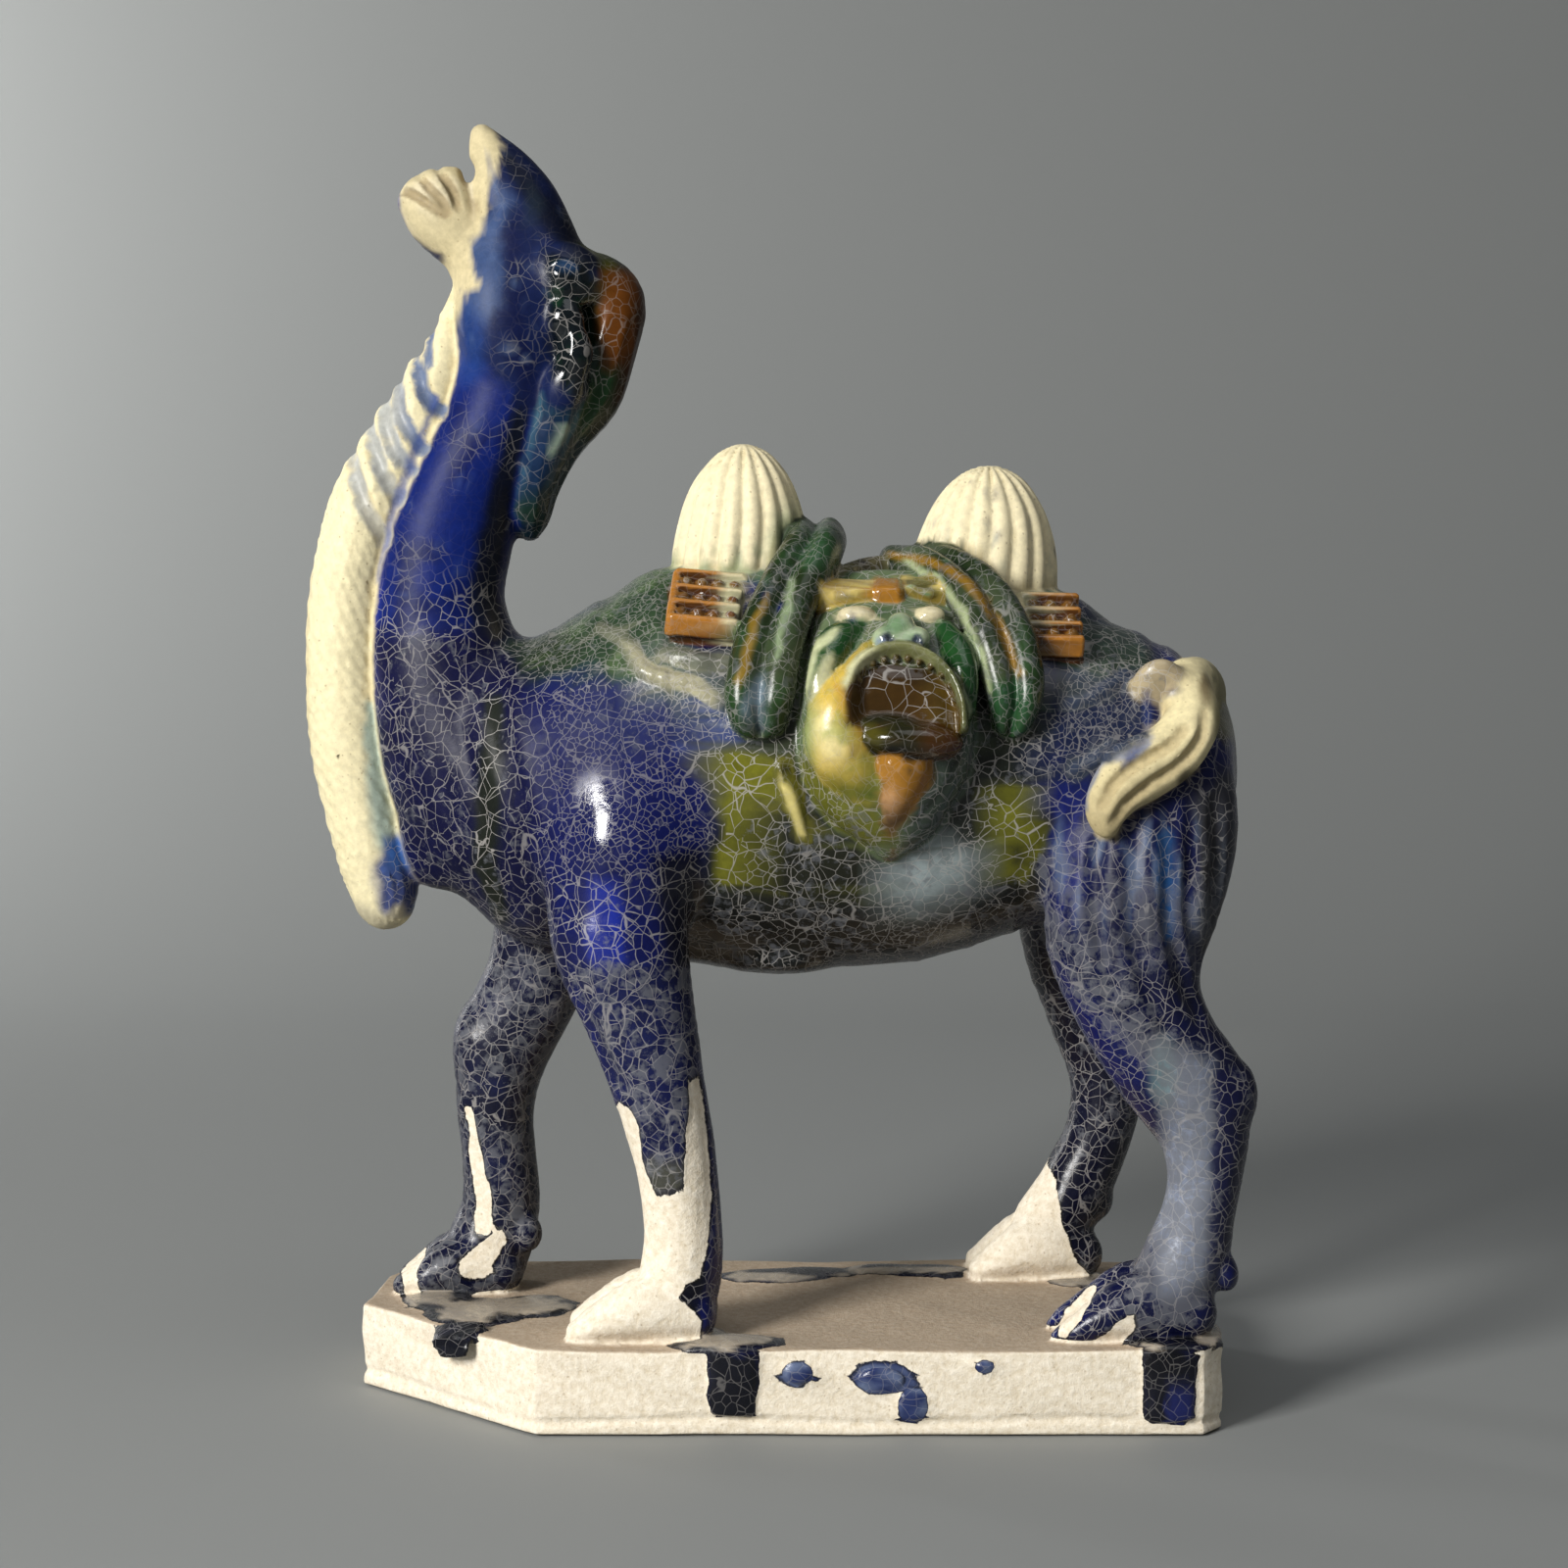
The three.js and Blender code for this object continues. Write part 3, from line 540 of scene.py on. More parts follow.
CLOTH_EDGES = [
    [[-41, 151.5], [-35.2, 148.1], [-31.5, 142.6], [-27.2, 141.2], [-20.6, 139.5], [-15.5, 136]],
    [[57.5, 135.5], [64, 137.6], [71, 141.5]],
    [[58.5, 121.7], [65.5, 125.2], [71.8, 129.2]],
]
LEDGE = [[-27.5, 146.3], [-21, 144.9], [-14, 144.0]]
BOARD_ROWS = 3
BOARDS = [(-18.6, 154.9, 14.2, 18.0, 0.10, 4), (55.0, 150.6, 12.2, 17.0, 0.02, 3)]


def plate(centre, half, axes, corner):
    """A flat board with rounded edges."""
    centre, half = np.array(centre, np.float32), np.array(half, np.float32)
    reach = np.abs(axes.T) @ half + 2.5

    def distance(x, y, z):
        dx, dy, dz = x - centre[0], y - centre[1], z - centre[2]
        over = [np.abs(dx * a[0] + dy * a[1] + dz * a[2]) - (h - corner) for a, h in zip(axes, half)]
        inside = np.minimum(np.maximum(np.maximum(over[0], over[1]), over[2]), 0)
        away = np.sqrt(sum(np.maximum(o, 0)**2 for o in over))
        return (inside + away - corner).astype(np.float32)

    return [(centre - reach, centre + reach, distance)]


for side in (NEAR, FAR):
    for x, z, width, height, slope, studs in BOARDS:
        lean = math.atan2(flank_at(x, z - height / 2) - flank_at(x, z + height / 2), height)
        axes = turned(about_x=side * lean, about_y=slope)
        along, out, up = axes[0], axes[1] * side, axes[2]
        board_at = np.array([x, side * flank_at(x, z), z])
        end = board_at + out * 1.6 - along * width / 2
        pitch = height / BOARD_ROWS
        press("board", plate(board_at + out * 0.4, (width / 2, 2.8, height / 2), axes, 0.7), 0.7)
        press("frame", plate(end, (1.0, 2.6, height / 2 + 0.5), axes, 0.7), 0.5)
        for row in range(BOARD_ROWS + 1):
            rung = board_at + up * (row - BOARD_ROWS / 2) * pitch + out * 2.0
            press("slat", plate(rung, (width / 2 + 0.4, 2.6, 0.95), axes, 0.7), 0.4)
        for row in range(BOARD_ROWS):
            for stud in range(studs):
                shift = ((stud + 0.6) / (studs + 0.1) - 0.5) * width
                level = row + 0.5 - BOARD_ROWS / 2
                middle = board_at + along * shift + up * level * pitch + out * 3.2
                press("stud", lump(middle, (1.3, 1.3, 1.3)), 0.4)
    tool_marks("cloth_edge", CLOTH_EDGES, side, 1.7, 1.3, raised=True)
    tool_marks("cloth_edge", [LEDGE], side, 2.0, 1.5, raised=True)


# Bag and monster mask
# Between the rolls hangs a bag with a moulded monster mask: blocks of brow, closed eyes, a snout
# with wide nostrils, green cheeks, an arched lip over an open mouth, a fat tongue and a chin that
# narrows to a strap. The far bag is plain, as only the near side was meant to be seen.
def bag_station(x, z, half, thick, side):
    """A station of the bag's roll, on the torso's side."""
    return [x, side * flank_at(x, z), z, half, thick]


for side in (NEAR, FAR):
    press("bag", roll([
        bag_station(19.5, 160, 13.5, 4, side),
        bag_station(19.5, 148, 16.5, 6.5, side),
        bag_station(19.5, 134, 18, 9, side),
        bag_station(19.5, 122, 17.0, 9.0, side),
        bag_station(20.5, 113.6, 11.5, 7.0, side),
        bag_station(20.0, 106.5, 3.4, 3.2, side),
    ], 4, facing=out_of_torso), 1.4)


def at(x, z, out):
    """A place on the near side, this far out from the torso."""
    return np.array([x, -(flank_at(x, z) + out), z])


def swell(name, x, z, out, half, turn=0.0, blend=0.8, lean=0.25):
    """A lump on the mask, leaning with the torso's side."""
    press(name, lump(at(x, z, out), half, turned(about_x=lean, about_y=turn)), blend)


def mask_roll(name, stations, blend, facing=out_of_torso, cut=False):
    """A roll on the mask through stations [x, z, out, half thickness, half width]."""
    line = [[*at(x, z, out), thick, wide] for x, z, out, thick, wide in stations]
    press(name, roll(line, facing=facing), blend, cut=cut)


mask_roll("mask_band", [
    [5.5, 158.5, 3.6, 1.9, 3.0],
    [12, 162.6, 3.6, 1.9, 3.0],
    [20.5, 164.2, 3.6, 1.9, 3.0],
    [29, 163, 3.6, 1.9, 3.0],
    [35, 159.4, 3.6, 1.9, 3.0],
], 1.2)
press("brow_block", plate(at(11.0, 158.4, 5.2), (6.6, 3.8, 3.1), turned(0.3, 0.05), 1.6), 1.0)
press("brow_block", plate(at(28.6, 158.8, 5.2), (5.6, 3.8, 2.7), turned(0.3, -0.08), 1.4), 1.0)
press("brow_middle", plate(at(20.0, 158.2, 5.2), (3.1, 4.2, 3.2), turned(0.3, 0.0), 1.4), 0.9)
mask_roll("brow_curl", [
    [6.2, 160.0, 8.2, 0.7, 0.9],
    [10.8, 158.4, 9.0, 0.7, 1.0],
    [15.2, 159.9, 9.0, 0.7, 0.9],
], 0.7, facing=(0, 1, 0))
mask_roll("brow_curl", [
    [25.0, 160.0, 9.0, 0.7, 0.9],
    [28.8, 158.6, 8.8, 0.7, 1.0],
    [32.6, 159.9, 8.2, 0.7, 0.9],
], 0.7, facing=(0, 1, 0))
swell("mask_eye", 13.2, 154.4, 7.6, (3.8, 2.6, 1.8), 0.05)
swell("mask_eye", 28.8, 154.4, 7.4, (3.0, 2.4, 1.7), -0.05)
swell("snout", 22.3, 152.4, 10.4, (2.8, 3.6, 2.4), blend=1.4)
swell("snout", 22.2, 149.4, 9.0, (5.4, 3.6, 2.6), blend=1.4)
swell("snout", 18.9, 149.8, 10.2, (2.5, 2.8, 2.2), blend=1.0)
swell("snout", 26.0, 149.6, 10.2, (2.4, 2.8, 2.2), blend=1.0)
for x, z in ((20.0, 149.6), (25.4, 149.3)):
    press("mask_nostril", lump(at(x, z, 13.6), (0.95, 1.9, 1.3)), 0.6, cut=True)
mask_roll("mask_cheek", [
    [12.6, 150.8, 6.0, 2.4, 2.6],
    [9.2, 149.0, 7.0, 3.8, 3.4],
    [6.8, 144.6, 7.4, 3.5, 3.8],
    [5.0, 139.4, 7.0, 2.5, 3.2],
    [4.2, 135.5, 6.2, 1.4, 2.2],
], 1.2)
mask_roll("mask_cheek", [
    [32.0, 150.8, 6.0, 2.4, 2.6],
    [34.2, 146.6, 6.6, 3.4, 3.4],
    [35.6, 140.8, 6.6, 2.9, 3.4],
    [36.2, 135.0, 5.2, 1.8, 2.4],
], 1.2)
mask_roll("pouch", [
    [15.6, 147.2, 8.0, 1.2, 1.8],
    [12.0, 142.2, 8.8, 2.4, 2.8],
    [9.6, 136.2, 7.8, 4.8, 5.2],
    [9.2, 130.6, 6.4, 7.0, 6.6],
    [11.6, 124.4, 5.4, 6.8, 5.6],
    [17.0, 120.4, 4.6, 5.4, 4.6],
], 1.6)
LIP_ARCH = [
    [11.4, 132.4], [11.2, 137.6], [12.8, 142.8], [17.0, 145.8], [22.4, 146.6],
    [27.6, 145.2], [32.2, 141.4], [34.6, 136.0], [35.0, 131.0],
]
mask_roll("lip_arch", [[x, z, 8.8, 1.1, 3.6] for x, z in LIP_ARCH], 1.2)
press("mask_mouth", lump(at(23.0, 136.6, 14.4), (11.2, 7.0, 8.6)), 1.2, cut=True)
press("mask_tongue", lump(at(24.2, 128.6, 8.6), (10.8, 6.4, 3.9), turned(about_x=-0.1, about_y=0.06)), 1.2)
press("mask_tongue", lump(at(19.0, 131.6, 8.0), (6.4, 4.6, 2.4)), 1.2)
mask_roll("mask_chin", [
    [22.4, 123.4, 6.6, 6.2, 5.2],
    [21.4, 118, 5.6, 4.4, 4.4],
    [20.8, 113.4, 4.6, 2.6, 3.2],
    [20.4, 108.4, 2.2, 1.3, 2.0],
    [20.2, 104.6, 0.4, 0.9, 1.2],
], 0.9)
mask_roll("lip_crease", [
    [15.4, 125.6, 12.6, 0.8, 0.8],
    [21, 124.9, 13.4, 1.0, 1.0],
    [28, 125.4, 12.8, 0.8, 0.8],
], 0.9, facing=(0, 1, 0), cut=True)
MOUTH_MIDDLE = np.array([23.0, 136.0])
TOOTH_INSET = 1.2
for on_lip in smooth_line(LIP_ARCH, 4)[5:28:2]:
    inward = MOUTH_MIDDLE - on_lip
    x, z = on_lip + inward * TOOTH_INSET / np.linalg.norm(inward)
    press("teeth", lump(at(x, z, 9.8), (0.6, 0.9, 0.7)), 0.5)
mask_roll("drip", [
    [-2.4, 123.0, -1.2, 1.6, 1.8],
    [-1.0, 118.0, -0.4, 2.0, 1.8],
    [1.0, 112.8, -0.4, 1.6, 1.6],
    [2.6, 107.6, -1.2, 0.9, 1.4],
], 0.8)


# Slab
# The slab is a rolled plate of the same clay, cut with a knife: square at the tail, its corners cut
# off towards the head. Glaze ran off the feet, lay on it in pools and went down its edge in drips.
SLAB_TOP, SLAB_FOOT = 1.0, -18.0
SLAB_CORNERS = [
    [-54.5, -42.35], [86.5, -42.35], [91.5, -36.35], [91.5, 36.35],
    [86.5, 42.35], [-85.5, 42.35], [-94.5, 26.35], [-96.5, -2],
]
SLAB_ROUND = 1.1


def slab():
    """The slab: a wavy top, edges a little uneven, and a shallow score line along them above the foot."""
    corners = np.array(SLAB_CORNERS)
    edges = np.roll(corners, -1, axis=0) - corners
    outward = np.stack([edges[:, 1], -edges[:, 0]], axis=1) / np.linalg.norm(edges, axis=1)[:, None]
    offset = np.sum(outward * corners, axis=1)

    def distance(x, y, z):
        wobble = 0.35 * np.sin(x * 0.09 + 1.0) * np.sin(y * 0.11)
        wobble = wobble + 0.18 * np.sin(x * 0.31) * np.cos(y * 0.27)
        side = np.max([x * n[0] + y * n[1] - d + 0 * z for n, d in zip(outward, offset)], axis=0)
        side = side + 0.3 * np.sin(x * 0.13 + z * 0.2) * np.cos(z * 0.35 + x * 0.05) + 0.25
        side = side + 0.55 * np.exp(-((z + 14.6 + 0.5 * np.sin(x * 0.08)) / 0.7)**2)
        up = np.maximum(z - SLAB_TOP - wobble * 0.8 + 0.2, SLAB_FOOT - z)
        side, up = side + SLAB_ROUND, up + SLAB_ROUND
        away = np.sqrt(np.maximum(side, 0)**2 + np.maximum(up, 0)**2)
        return (np.minimum(np.maximum(side, up), 0) + away - SLAB_ROUND).astype(np.float32)

    return [(np.array([-100.0, -46, -20]), np.array([95.0, 46, 4]), distance)]


press("slab", slab(), 1.4)
SPOTS = [
    [(0.8, -4.4), (2.6, 2.2)], [(18.6, -5.4), (5.0, 2.8)],
    [(25.1, -11.2), (2.7, 3.2)], [(40.1, -2.9), (1.6, 1.0)],
]
for (x, z), (wide_half, tall_half) in SPOTS:
    press("slab_spot", lump((x, -42.3, z), (wide_half, 0.5, tall_half)), 0.3)
POOLS = [
    [(-70, -9), (10, 11)], [(-58, -4), (9, 8)], [(-80, 4), (7, 12)],
    [(-15, -36), (11, 6.5)], [(-22, -30), (7, 7)],
    [(-4, 24), (12, 6)], [(6, 27), (8, 4.5)],
    [(30, 29), (13, 4.5)], [(20, 30), (7, 3.6)],
    [(80, -34), (10, 8)], [(88, -26), (4, 9)], [(66, 20), (7, 6)],
]
for (x, y), (long_half, wide_half) in POOLS:
    press("pool", lump((x, y, SLAB_TOP - 0.2), (long_half, wide_half, 1.0)), 1.0)
for x, half, low in ((-12.8, 4.6, -15.4), (79.0, 5.0, -16.6)):
    press("slab_drip", roll([
        [x, -36, SLAB_TOP, 0.9, half],
        [x, -41.3, 0.2, 0.9, half],
        [x, -42.3, -4, 0.9, half * 0.96],
        [x, -42.3, low + 3, 1.0, half * 0.9],
    ], facing=(1, 0, 0)), 1.4)
press("slab_drip", roll([
    [-72, -22.5, 0.6, 0.9, 6],
    [-73, -27.2, -1.6, 0.9, 5.4],
    [-73, -28.0, -4.0, 0.8, 4.6],
], facing=(1, -0.9, 0)), 1.4)


# The fired skin
# The surface of the clay becomes one mesh, thinned where it is plain and kept fine where it is
# carved. It stands for the CAD solid, in the same place.
SKIN_TRIANGLES = 188000
FROM_SLAB_CENTRE = np.array([2.5, 0.0, 18.0])
MM_PER_METRE = 1000
grid = openvdb.FloatGrid(background=AIR)
grid.copyFromArray(clay)
points, _, quads = grid.convertToPolygons(isovalue=0.0, adaptivity=0.0)
points = BLOCK_LOW + np.asarray(points) * GRAIN
quads = np.asarray(quads)
skin_mesh = bpy.data.meshes.new("camel_skin")
skin_mesh.vertices.add(len(points))
skin_mesh.vertices.foreach_set("co", points.astype(np.float32).ravel())
skin_mesh.loops.add(quads.size)
skin_mesh.loops.foreach_set("vertex_index", quads.astype(np.int32).ravel())
skin_mesh.polygons.add(len(quads))
skin_mesh.polygons.foreach_set("loop_start", np.arange(0, quads.size, 4, dtype=np.int32))
skin_mesh.update(calc_edges=True)
skin_mesh.validate()
skin = bpy.data.objects.new("camel_skin", skin_mesh)
bpy.context.scene.collection.objects.link(skin)
thinning = skin.modifiers.new("thinning", "DECIMATE")
thinning.ratio = SKIN_TRIANGLES / (2 * len(quads))
thinning.use_collapse_triangulate = True
thinned = skin.evaluated_get(bpy.context.evaluated_depsgraph_get())
skin_mesh = bpy.data.meshes.new_from_object(thinned)
skin.modifiers.clear()
skin.data = skin_mesh

# A few grains of air were shut in under the pack. Their tiny skins go, and the camel's own stays.
ends = np.empty(len(skin_mesh.edges) * 2, np.int32)
skin_mesh.edges.foreach_get("vertices", ends)
ends = ends.reshape(-1, 2)
joined = np.arange(len(skin_mesh.vertices))
apart = True
while apart:
    before = joined.copy()
    lowest = np.minimum(joined[ends[:, 0]], joined[ends[:, 1]])
    np.minimum.at(joined, ends[:, 0], lowest)
    np.minimum.at(joined, ends[:, 1], lowest)
    joined = joined[joined]
    apart = not np.array_equal(before, joined)
own = np.bincount(joined).argmax()
cleaned = bmesh.new()
cleaned.from_mesh(skin_mesh)
bmesh.ops.delete(cleaned, geom=[v for v in cleaned.verts if joined[v.index] != own], context="VERTS")
cleaned.to_mesh(skin_mesh)
cleaned.free()

# Each vertex of the skin: its place in millimetres, and which way it faces
count = len(skin_mesh.vertices)
place = np.empty(count * 3, np.float32)
skin_mesh.vertices.foreach_get("co", place)
place = place.reshape(-1, 3)
facing = np.empty(count * 3, np.float32)
skin_mesh.vertices.foreach_get("normal", facing)
facing = facing.reshape(-1, 3)
py, pz = place[:, 1], place[:, 2]


def depth_at(spots):
    """The clay's distance field at any spots, between its grains."""
    q = np.clip((spots - BLOCK_LOW) / GRAIN, 0, BLOCK_COUNT - 1.001)
    i = q.astype(int)
    f = q - i
    total = 0
    for corner in range(8):
        step = [(corner >> k) & 1 for k in range(3)]
        weight = np.prod([f[:, k] if step[k] else 1 - f[:, k] for k in range(3)], axis=0)
        total = total + weight * clay[i[:, 0] + step[0], i[:, 1] + step[1], i[:, 2] + step[2]]
    return total


# How hollow, how ridged and how shut in the skin is about each vertex
NEAR_REACH, NOOK_REACH = 2.2, 6.0
hollow = np.clip(1 - depth_at(place + facing * NEAR_REACH) / NEAR_REACH, -1, 1)
ridge = np.clip(1 + depth_at(place - facing * NEAR_REACH) / NEAR_REACH, -1, 1)
nook = np.clip(1 - depth_at(place + facing * NOOK_REACH) / NOOK_REACH, 0, 1)

# Random values stand on a lattice that repeats, and places are moved well away from its zero.
LATTICE = 32
FAR_CORNER = 1000


def mottle(spots, size, seed):
    """Soft random unevenness from -1 to 1, with patches of about this size in millimetres."""
    lattice = np.random.default_rng(seed).uniform(-1, 1, (LATTICE, LATTICE, LATTICE))
    q = spots / size + FAR_CORNER
    i = np.floor(q).astype(int)
    f = q - i
    f = f * f * (3 - 2 * f)
    total = 0
    for corner in range(8):
        step = [(corner >> k) & 1 for k in range(3)]
        weight = np.prod([f[:, k] if step[k] else 1 - f[:, k] for k in range(3)], axis=0)
        total = total + weight * lattice[tuple((i[:, k] + step[k]) % LATTICE for k in range(3))]
    return total


# Glazes
# Lead glazes were brushed and poured on the pale clay: cobalt over the body, cream on hair, humps
# and tail, green, amber and olive on the pack. They ran together, thinned on the ridges, pooled in
# the hollows, and stopped short of the feet, where the bare clay shows. Brush places are given as
# they lie in the photograph, across and down, and one of its pixels is 0.216 mm on the camel.
VIEW_DEPTH, VIEW_PIXELS, VIEW_DOWN = 649.0, 3000.0, 0.0665
VIEW_MIDDLE, VIEW_X, VIEW_HEIGHT = 800, -2, 159


def linear(hex_colour):
    """An sRGB hex colour as linear red, green and blue."""
    parts = [int(hex_colour[i:i + 2], 16) / 255 for i in (1, 3, 5)]
    return np.array([c / 12.92 if c <= 0.04045 else ((c + 0.055) / 1.055)**2.4 for c in parts])


def soft(value, start, end):
    """0 at start, 1 at end, smooth between them."""
    t = np.clip((value - start) / (end - start), 0, 1)
    return t * t * (3 - 2 * t)


def touch(name, reach=0.9, roughness=1):
    """1 where the skin lies on a form that was pressed on, falling to 0 at reach away from it."""
    x, y, z = wavy[roughness].astype(np.float32).T
    away = np.full(count, AIR, np.float32)
    for low, high, distance in forms[name]:
        inside = np.all((place > low - 3) & (place < high + 3), axis=1)
        away[inside] = np.minimum(away[inside], distance(x[inside], y[inside], z[inside]))
    return 1 - soft(away, 0.2, reach)


def on_photo(spots):
    """Where spots lie in the photograph. The body's far side counts as the near side's mirror."""
    depth = VIEW_DEPTH + np.where(own_side, spots[:, 1], -np.abs(spots[:, 1]))
    u = VIEW_MIDDLE + VIEW_PIXELS * (spots[:, 0] - VIEW_X) / depth
    v = VIEW_MIDDLE + VIEW_PIXELS * np.tan(np.arctan((VIEW_HEIGHT - spots[:, 2]) / depth) - VIEW_DOWN)
    return u, v


def area(corners, edge=6.0, roughness=1):
    """1 inside an outline in the view, falling to 0 across its edge."""
    u, v = views[roughness]
    away = np.full(count, 1e9)
    inside = np.zeros(count, bool)
    for (au, av), (bu, bv) in zip(corners, corners[1:] + corners[:1]):
        du, dv = bu - au, bv - av
        t = np.clip(((u - au) * du + (v - av) * dv) / (du * du + dv * dv), 0, 1)
        away = np.minimum(away, np.hypot(u - au - du * t, v - av - dv * t))
        inside ^= ((av > v) != (bv > v)) & (u < au + (v - av) * du / (dv if dv else 1e-9))
    return soft(np.where(inside, away, -away), -edge, edge)


def stripe(path, edge=0.4, roughness=1):
    """1 along a line in the view. path holds its places and its half width at each."""
    u, v = views[roughness]
    best = np.full(count, 1e3)
    for (au, av, aw), (bu, bv, bw) in zip(path[:-1], path[1:]):
        du, dv = bu - au, bv - av
        t = np.clip(((u - au) * du + (v - av) * dv) / (du * du + dv * dv), 0, 1)
        best = np.minimum(best, np.hypot(u - au - du * t, v - av - dv * t) / (aw + (bw - aw) * t))
    return 1 - soft(best, 1 - edge, 1 + edge)


def oval(u0, v0, half_u, half_v, edge=0.4, roughness=1):
    """1 inside an oval of the view."""
    u, v = views[roughness]
    return 1 - soft(np.hypot((u - u0) / half_u, (v - v0) / half_v), 1 - edge, 1 + edge)


def lay(colour, mask, strength=1.0):
    """Brushes a colour over the ones under it: mostly glazes, in a few places painted shade and painted
    highlights.
    """
    share = (np.clip(mask, 0, 1) * strength)[:, None]
    glaze[...] = glaze * (1 - share) + linear(colour) * share


def to(mask, **values):
    """Moves the skin's measures towards these values where the mask is."""
    share = np.clip(mask, 0, 1)
    for name, value in values.items():
        brushed[name][...] = brushed[name] * (1 - share) + value * share


# A brush's edge is true (roughness 0), a little wavy (1) or ragged (2).
fine_waves = np.stack([mottle(place, 3.0, seed) for seed in (14, 15, 16)], axis=1)
broad_waves = np.stack([mottle(place, 9.0, seed) for seed in (11, 12, 13)], axis=1)
wavy = [place, place + 0.6 * fine_waves, place + 1.2 * fine_waves + 2.4 * broad_waves]

# The far legs and the slab are seen for themselves, and are no mirror of the near side.
BELLY_HEIGHT = 92
own_side = np.zeros(count, bool)
for name in ("far_front", "far_hind", "slab", "spur"):
    own_side |= (touch(name, 2.5, 0) > 0.3) & (pz < BELLY_HEIGHT)
views = [on_photo(spots) for spots in wavy]

# How far across and down the photograph each vertex lies, and unevenness of three sizes
seen_u, seen_v = views[0]
small_spots = mottle(place, 2.4, 61)
middle_spots = mottle(place, 6.0, 62)
large_spots = mottle(place, 13.0, 63)

# What the skin holds at each vertex: the glaze's colour, with painted shade and highlights in places, how
# matte and hazed it is, how much crackle shows and how coarse it is, how dull its gloss is, whether it is a
# cream glaze, and where it is bare
glaze = np.tile(linear("#0c134a"), (count, 1))
haze = np.full(count, 0.2)
crackle = np.full(count, 0.75)
cell = np.full(count, 0.5)
satin = np.full(count, 0.42)
pale = np.zeros(count)
bare = np.zeros(count)
brushed = {"haze": haze, "crackle": crackle, "cell": cell, "satin": satin}

# Cobalt of the body: deeper where it pooled, milky where it is thin.
lay("#06082a", soft(large_spots + 0.5 * middle_spots, 0.0, 0.9), 0.7)
lay("#1c2b68", soft(-large_spots + 0.6 * small_spots, 0.35, 1.1), 0.5)
lay("#070826", soft(hollow, 0.15, 0.6), 0.7)
neck_clear = area([
    (455, 330), (560, 330), (590, 440), (540, 520), (500, 640), (430, 640), (370, 660), (375, 580),
    (400, 480), (440, 400),
], 14)
lay("#0a1d60", neck_clear, 0.9)
lay("#070c38", neck_clear * soft(middle_spots, 0.0, 0.8), 0.6)
to(neck_clear, haze=0.05, satin=0.92)
neck_and_head = area([(440, 120), (620, 120), (600, 440), (520, 590), (360, 600), (400, 440)], 30)
to(neck_and_head, crackle=0.02)
veiled = area([(440, 330), (560, 320), (590, 440), (520, 590), (370, 610), (400, 460)], 16)
to(veiled * soft(middle_spots, -0.1, 0.7), crackle=0.3)
lay("#3d4f86", veiled * soft(small_spots + 0.7 * middle_spots, 0.5, 1.2), 0.35)
blue_by_fringe = stripe([(380, 590, 10), (374, 660, 9), (378, 720, 6)])
lay("#15267c", blue_by_fringe, 0.8)
neck_run = stripe([(540, 395, 8), (512, 500, 13), (494, 600, 16), (506, 660, 18), (535, 690, 14)], 0.5)
lay("#0a0f14", neck_run, 0.9)
clear_neck_run = stripe([(512, 500, 16), (494, 600, 20), (506, 650, 18)], 0.5)
to(clear_neck_run, haze=0.05)
chest = area([(378, 640), (500, 640), (560, 690), (556, 930), (470, 930), (420, 900), (392, 800)], 20, 2)
lay("#0b0c2c", chest, 0.9)
to(chest, haze=0.30, satin=0.85, crackle=0.6, cell=0.68)
chest_run = stripe([(505, 715, 10), (498, 790, 13), (494, 880, 12), (510, 930, 8)], 0.5)
lay("#1b1f10", chest_run, 0.85)
olive_run = stripe([(505, 715, 14), (498, 790, 16), (494, 880, 15)], 0.4)
to(olive_run, cell=0.9, crackle=1.0)
chest_run_core = stripe([(505, 715, 10), (498, 790, 12), (494, 880, 11)], 0.4)
to(chest_run_core, haze=0.2)

# Shoulder, and the green that ran down it from the back
shoulder = area([(540, 700), (620, 690), (715, 730), (722, 880), (660, 890), (560, 880)], 22, 2)
lay("#0f1548", shoulder, 0.9)
to(shoulder, haze=0.2, cell=0.2, crackle=0.42, satin=1.0)
shoulder_gloss = oval(612, 830, 30, 44, 0.4)
to(shoulder_gloss, satin=0.1)
shoulder_top = area([(590, 680), (700, 680), (715, 740), (620, 760), (580, 730)], 20, 2)
lay("#1c2450", shoulder_top, 0.6)
withers = area([
    (520, 655), (600, 610), (650, 572), (700, 560), (700, 690), (660, 690), (610, 680), (560, 690),
], 16, 2)
lay("#2c3f24", withers, 0.9)
lay("#4f6340", withers * soft(small_spots + middle_spots, -0.1, 1.0), 0.7)
withers_shade = area([(515, 650), (580, 640), (600, 668), (560, 690), (525, 680)], 10, 2)
lay("#232a1c", withers_shade, 0.6)
to(withers, cell=0.15, crackle=0.5, haze=0.3)
upper_leg_blue = area([(600, 890), (632, 895), (636, 985), (612, 1000), (598, 960)], 8)
lay("#1a2a8c", upper_leg_blue, 0.7)
# Painted shade: the gap behind the near front leg's elbow, between leg and belly, is laid near black.
elbow_painted_shade = area([(668, 870), (716, 860), (716, 960), (702, 1010), (684, 1000), (672, 930)], 8)
lay("#05071a", elbow_painted_shade, 0.9)
to(elbow_painted_shade, haze=0.05)
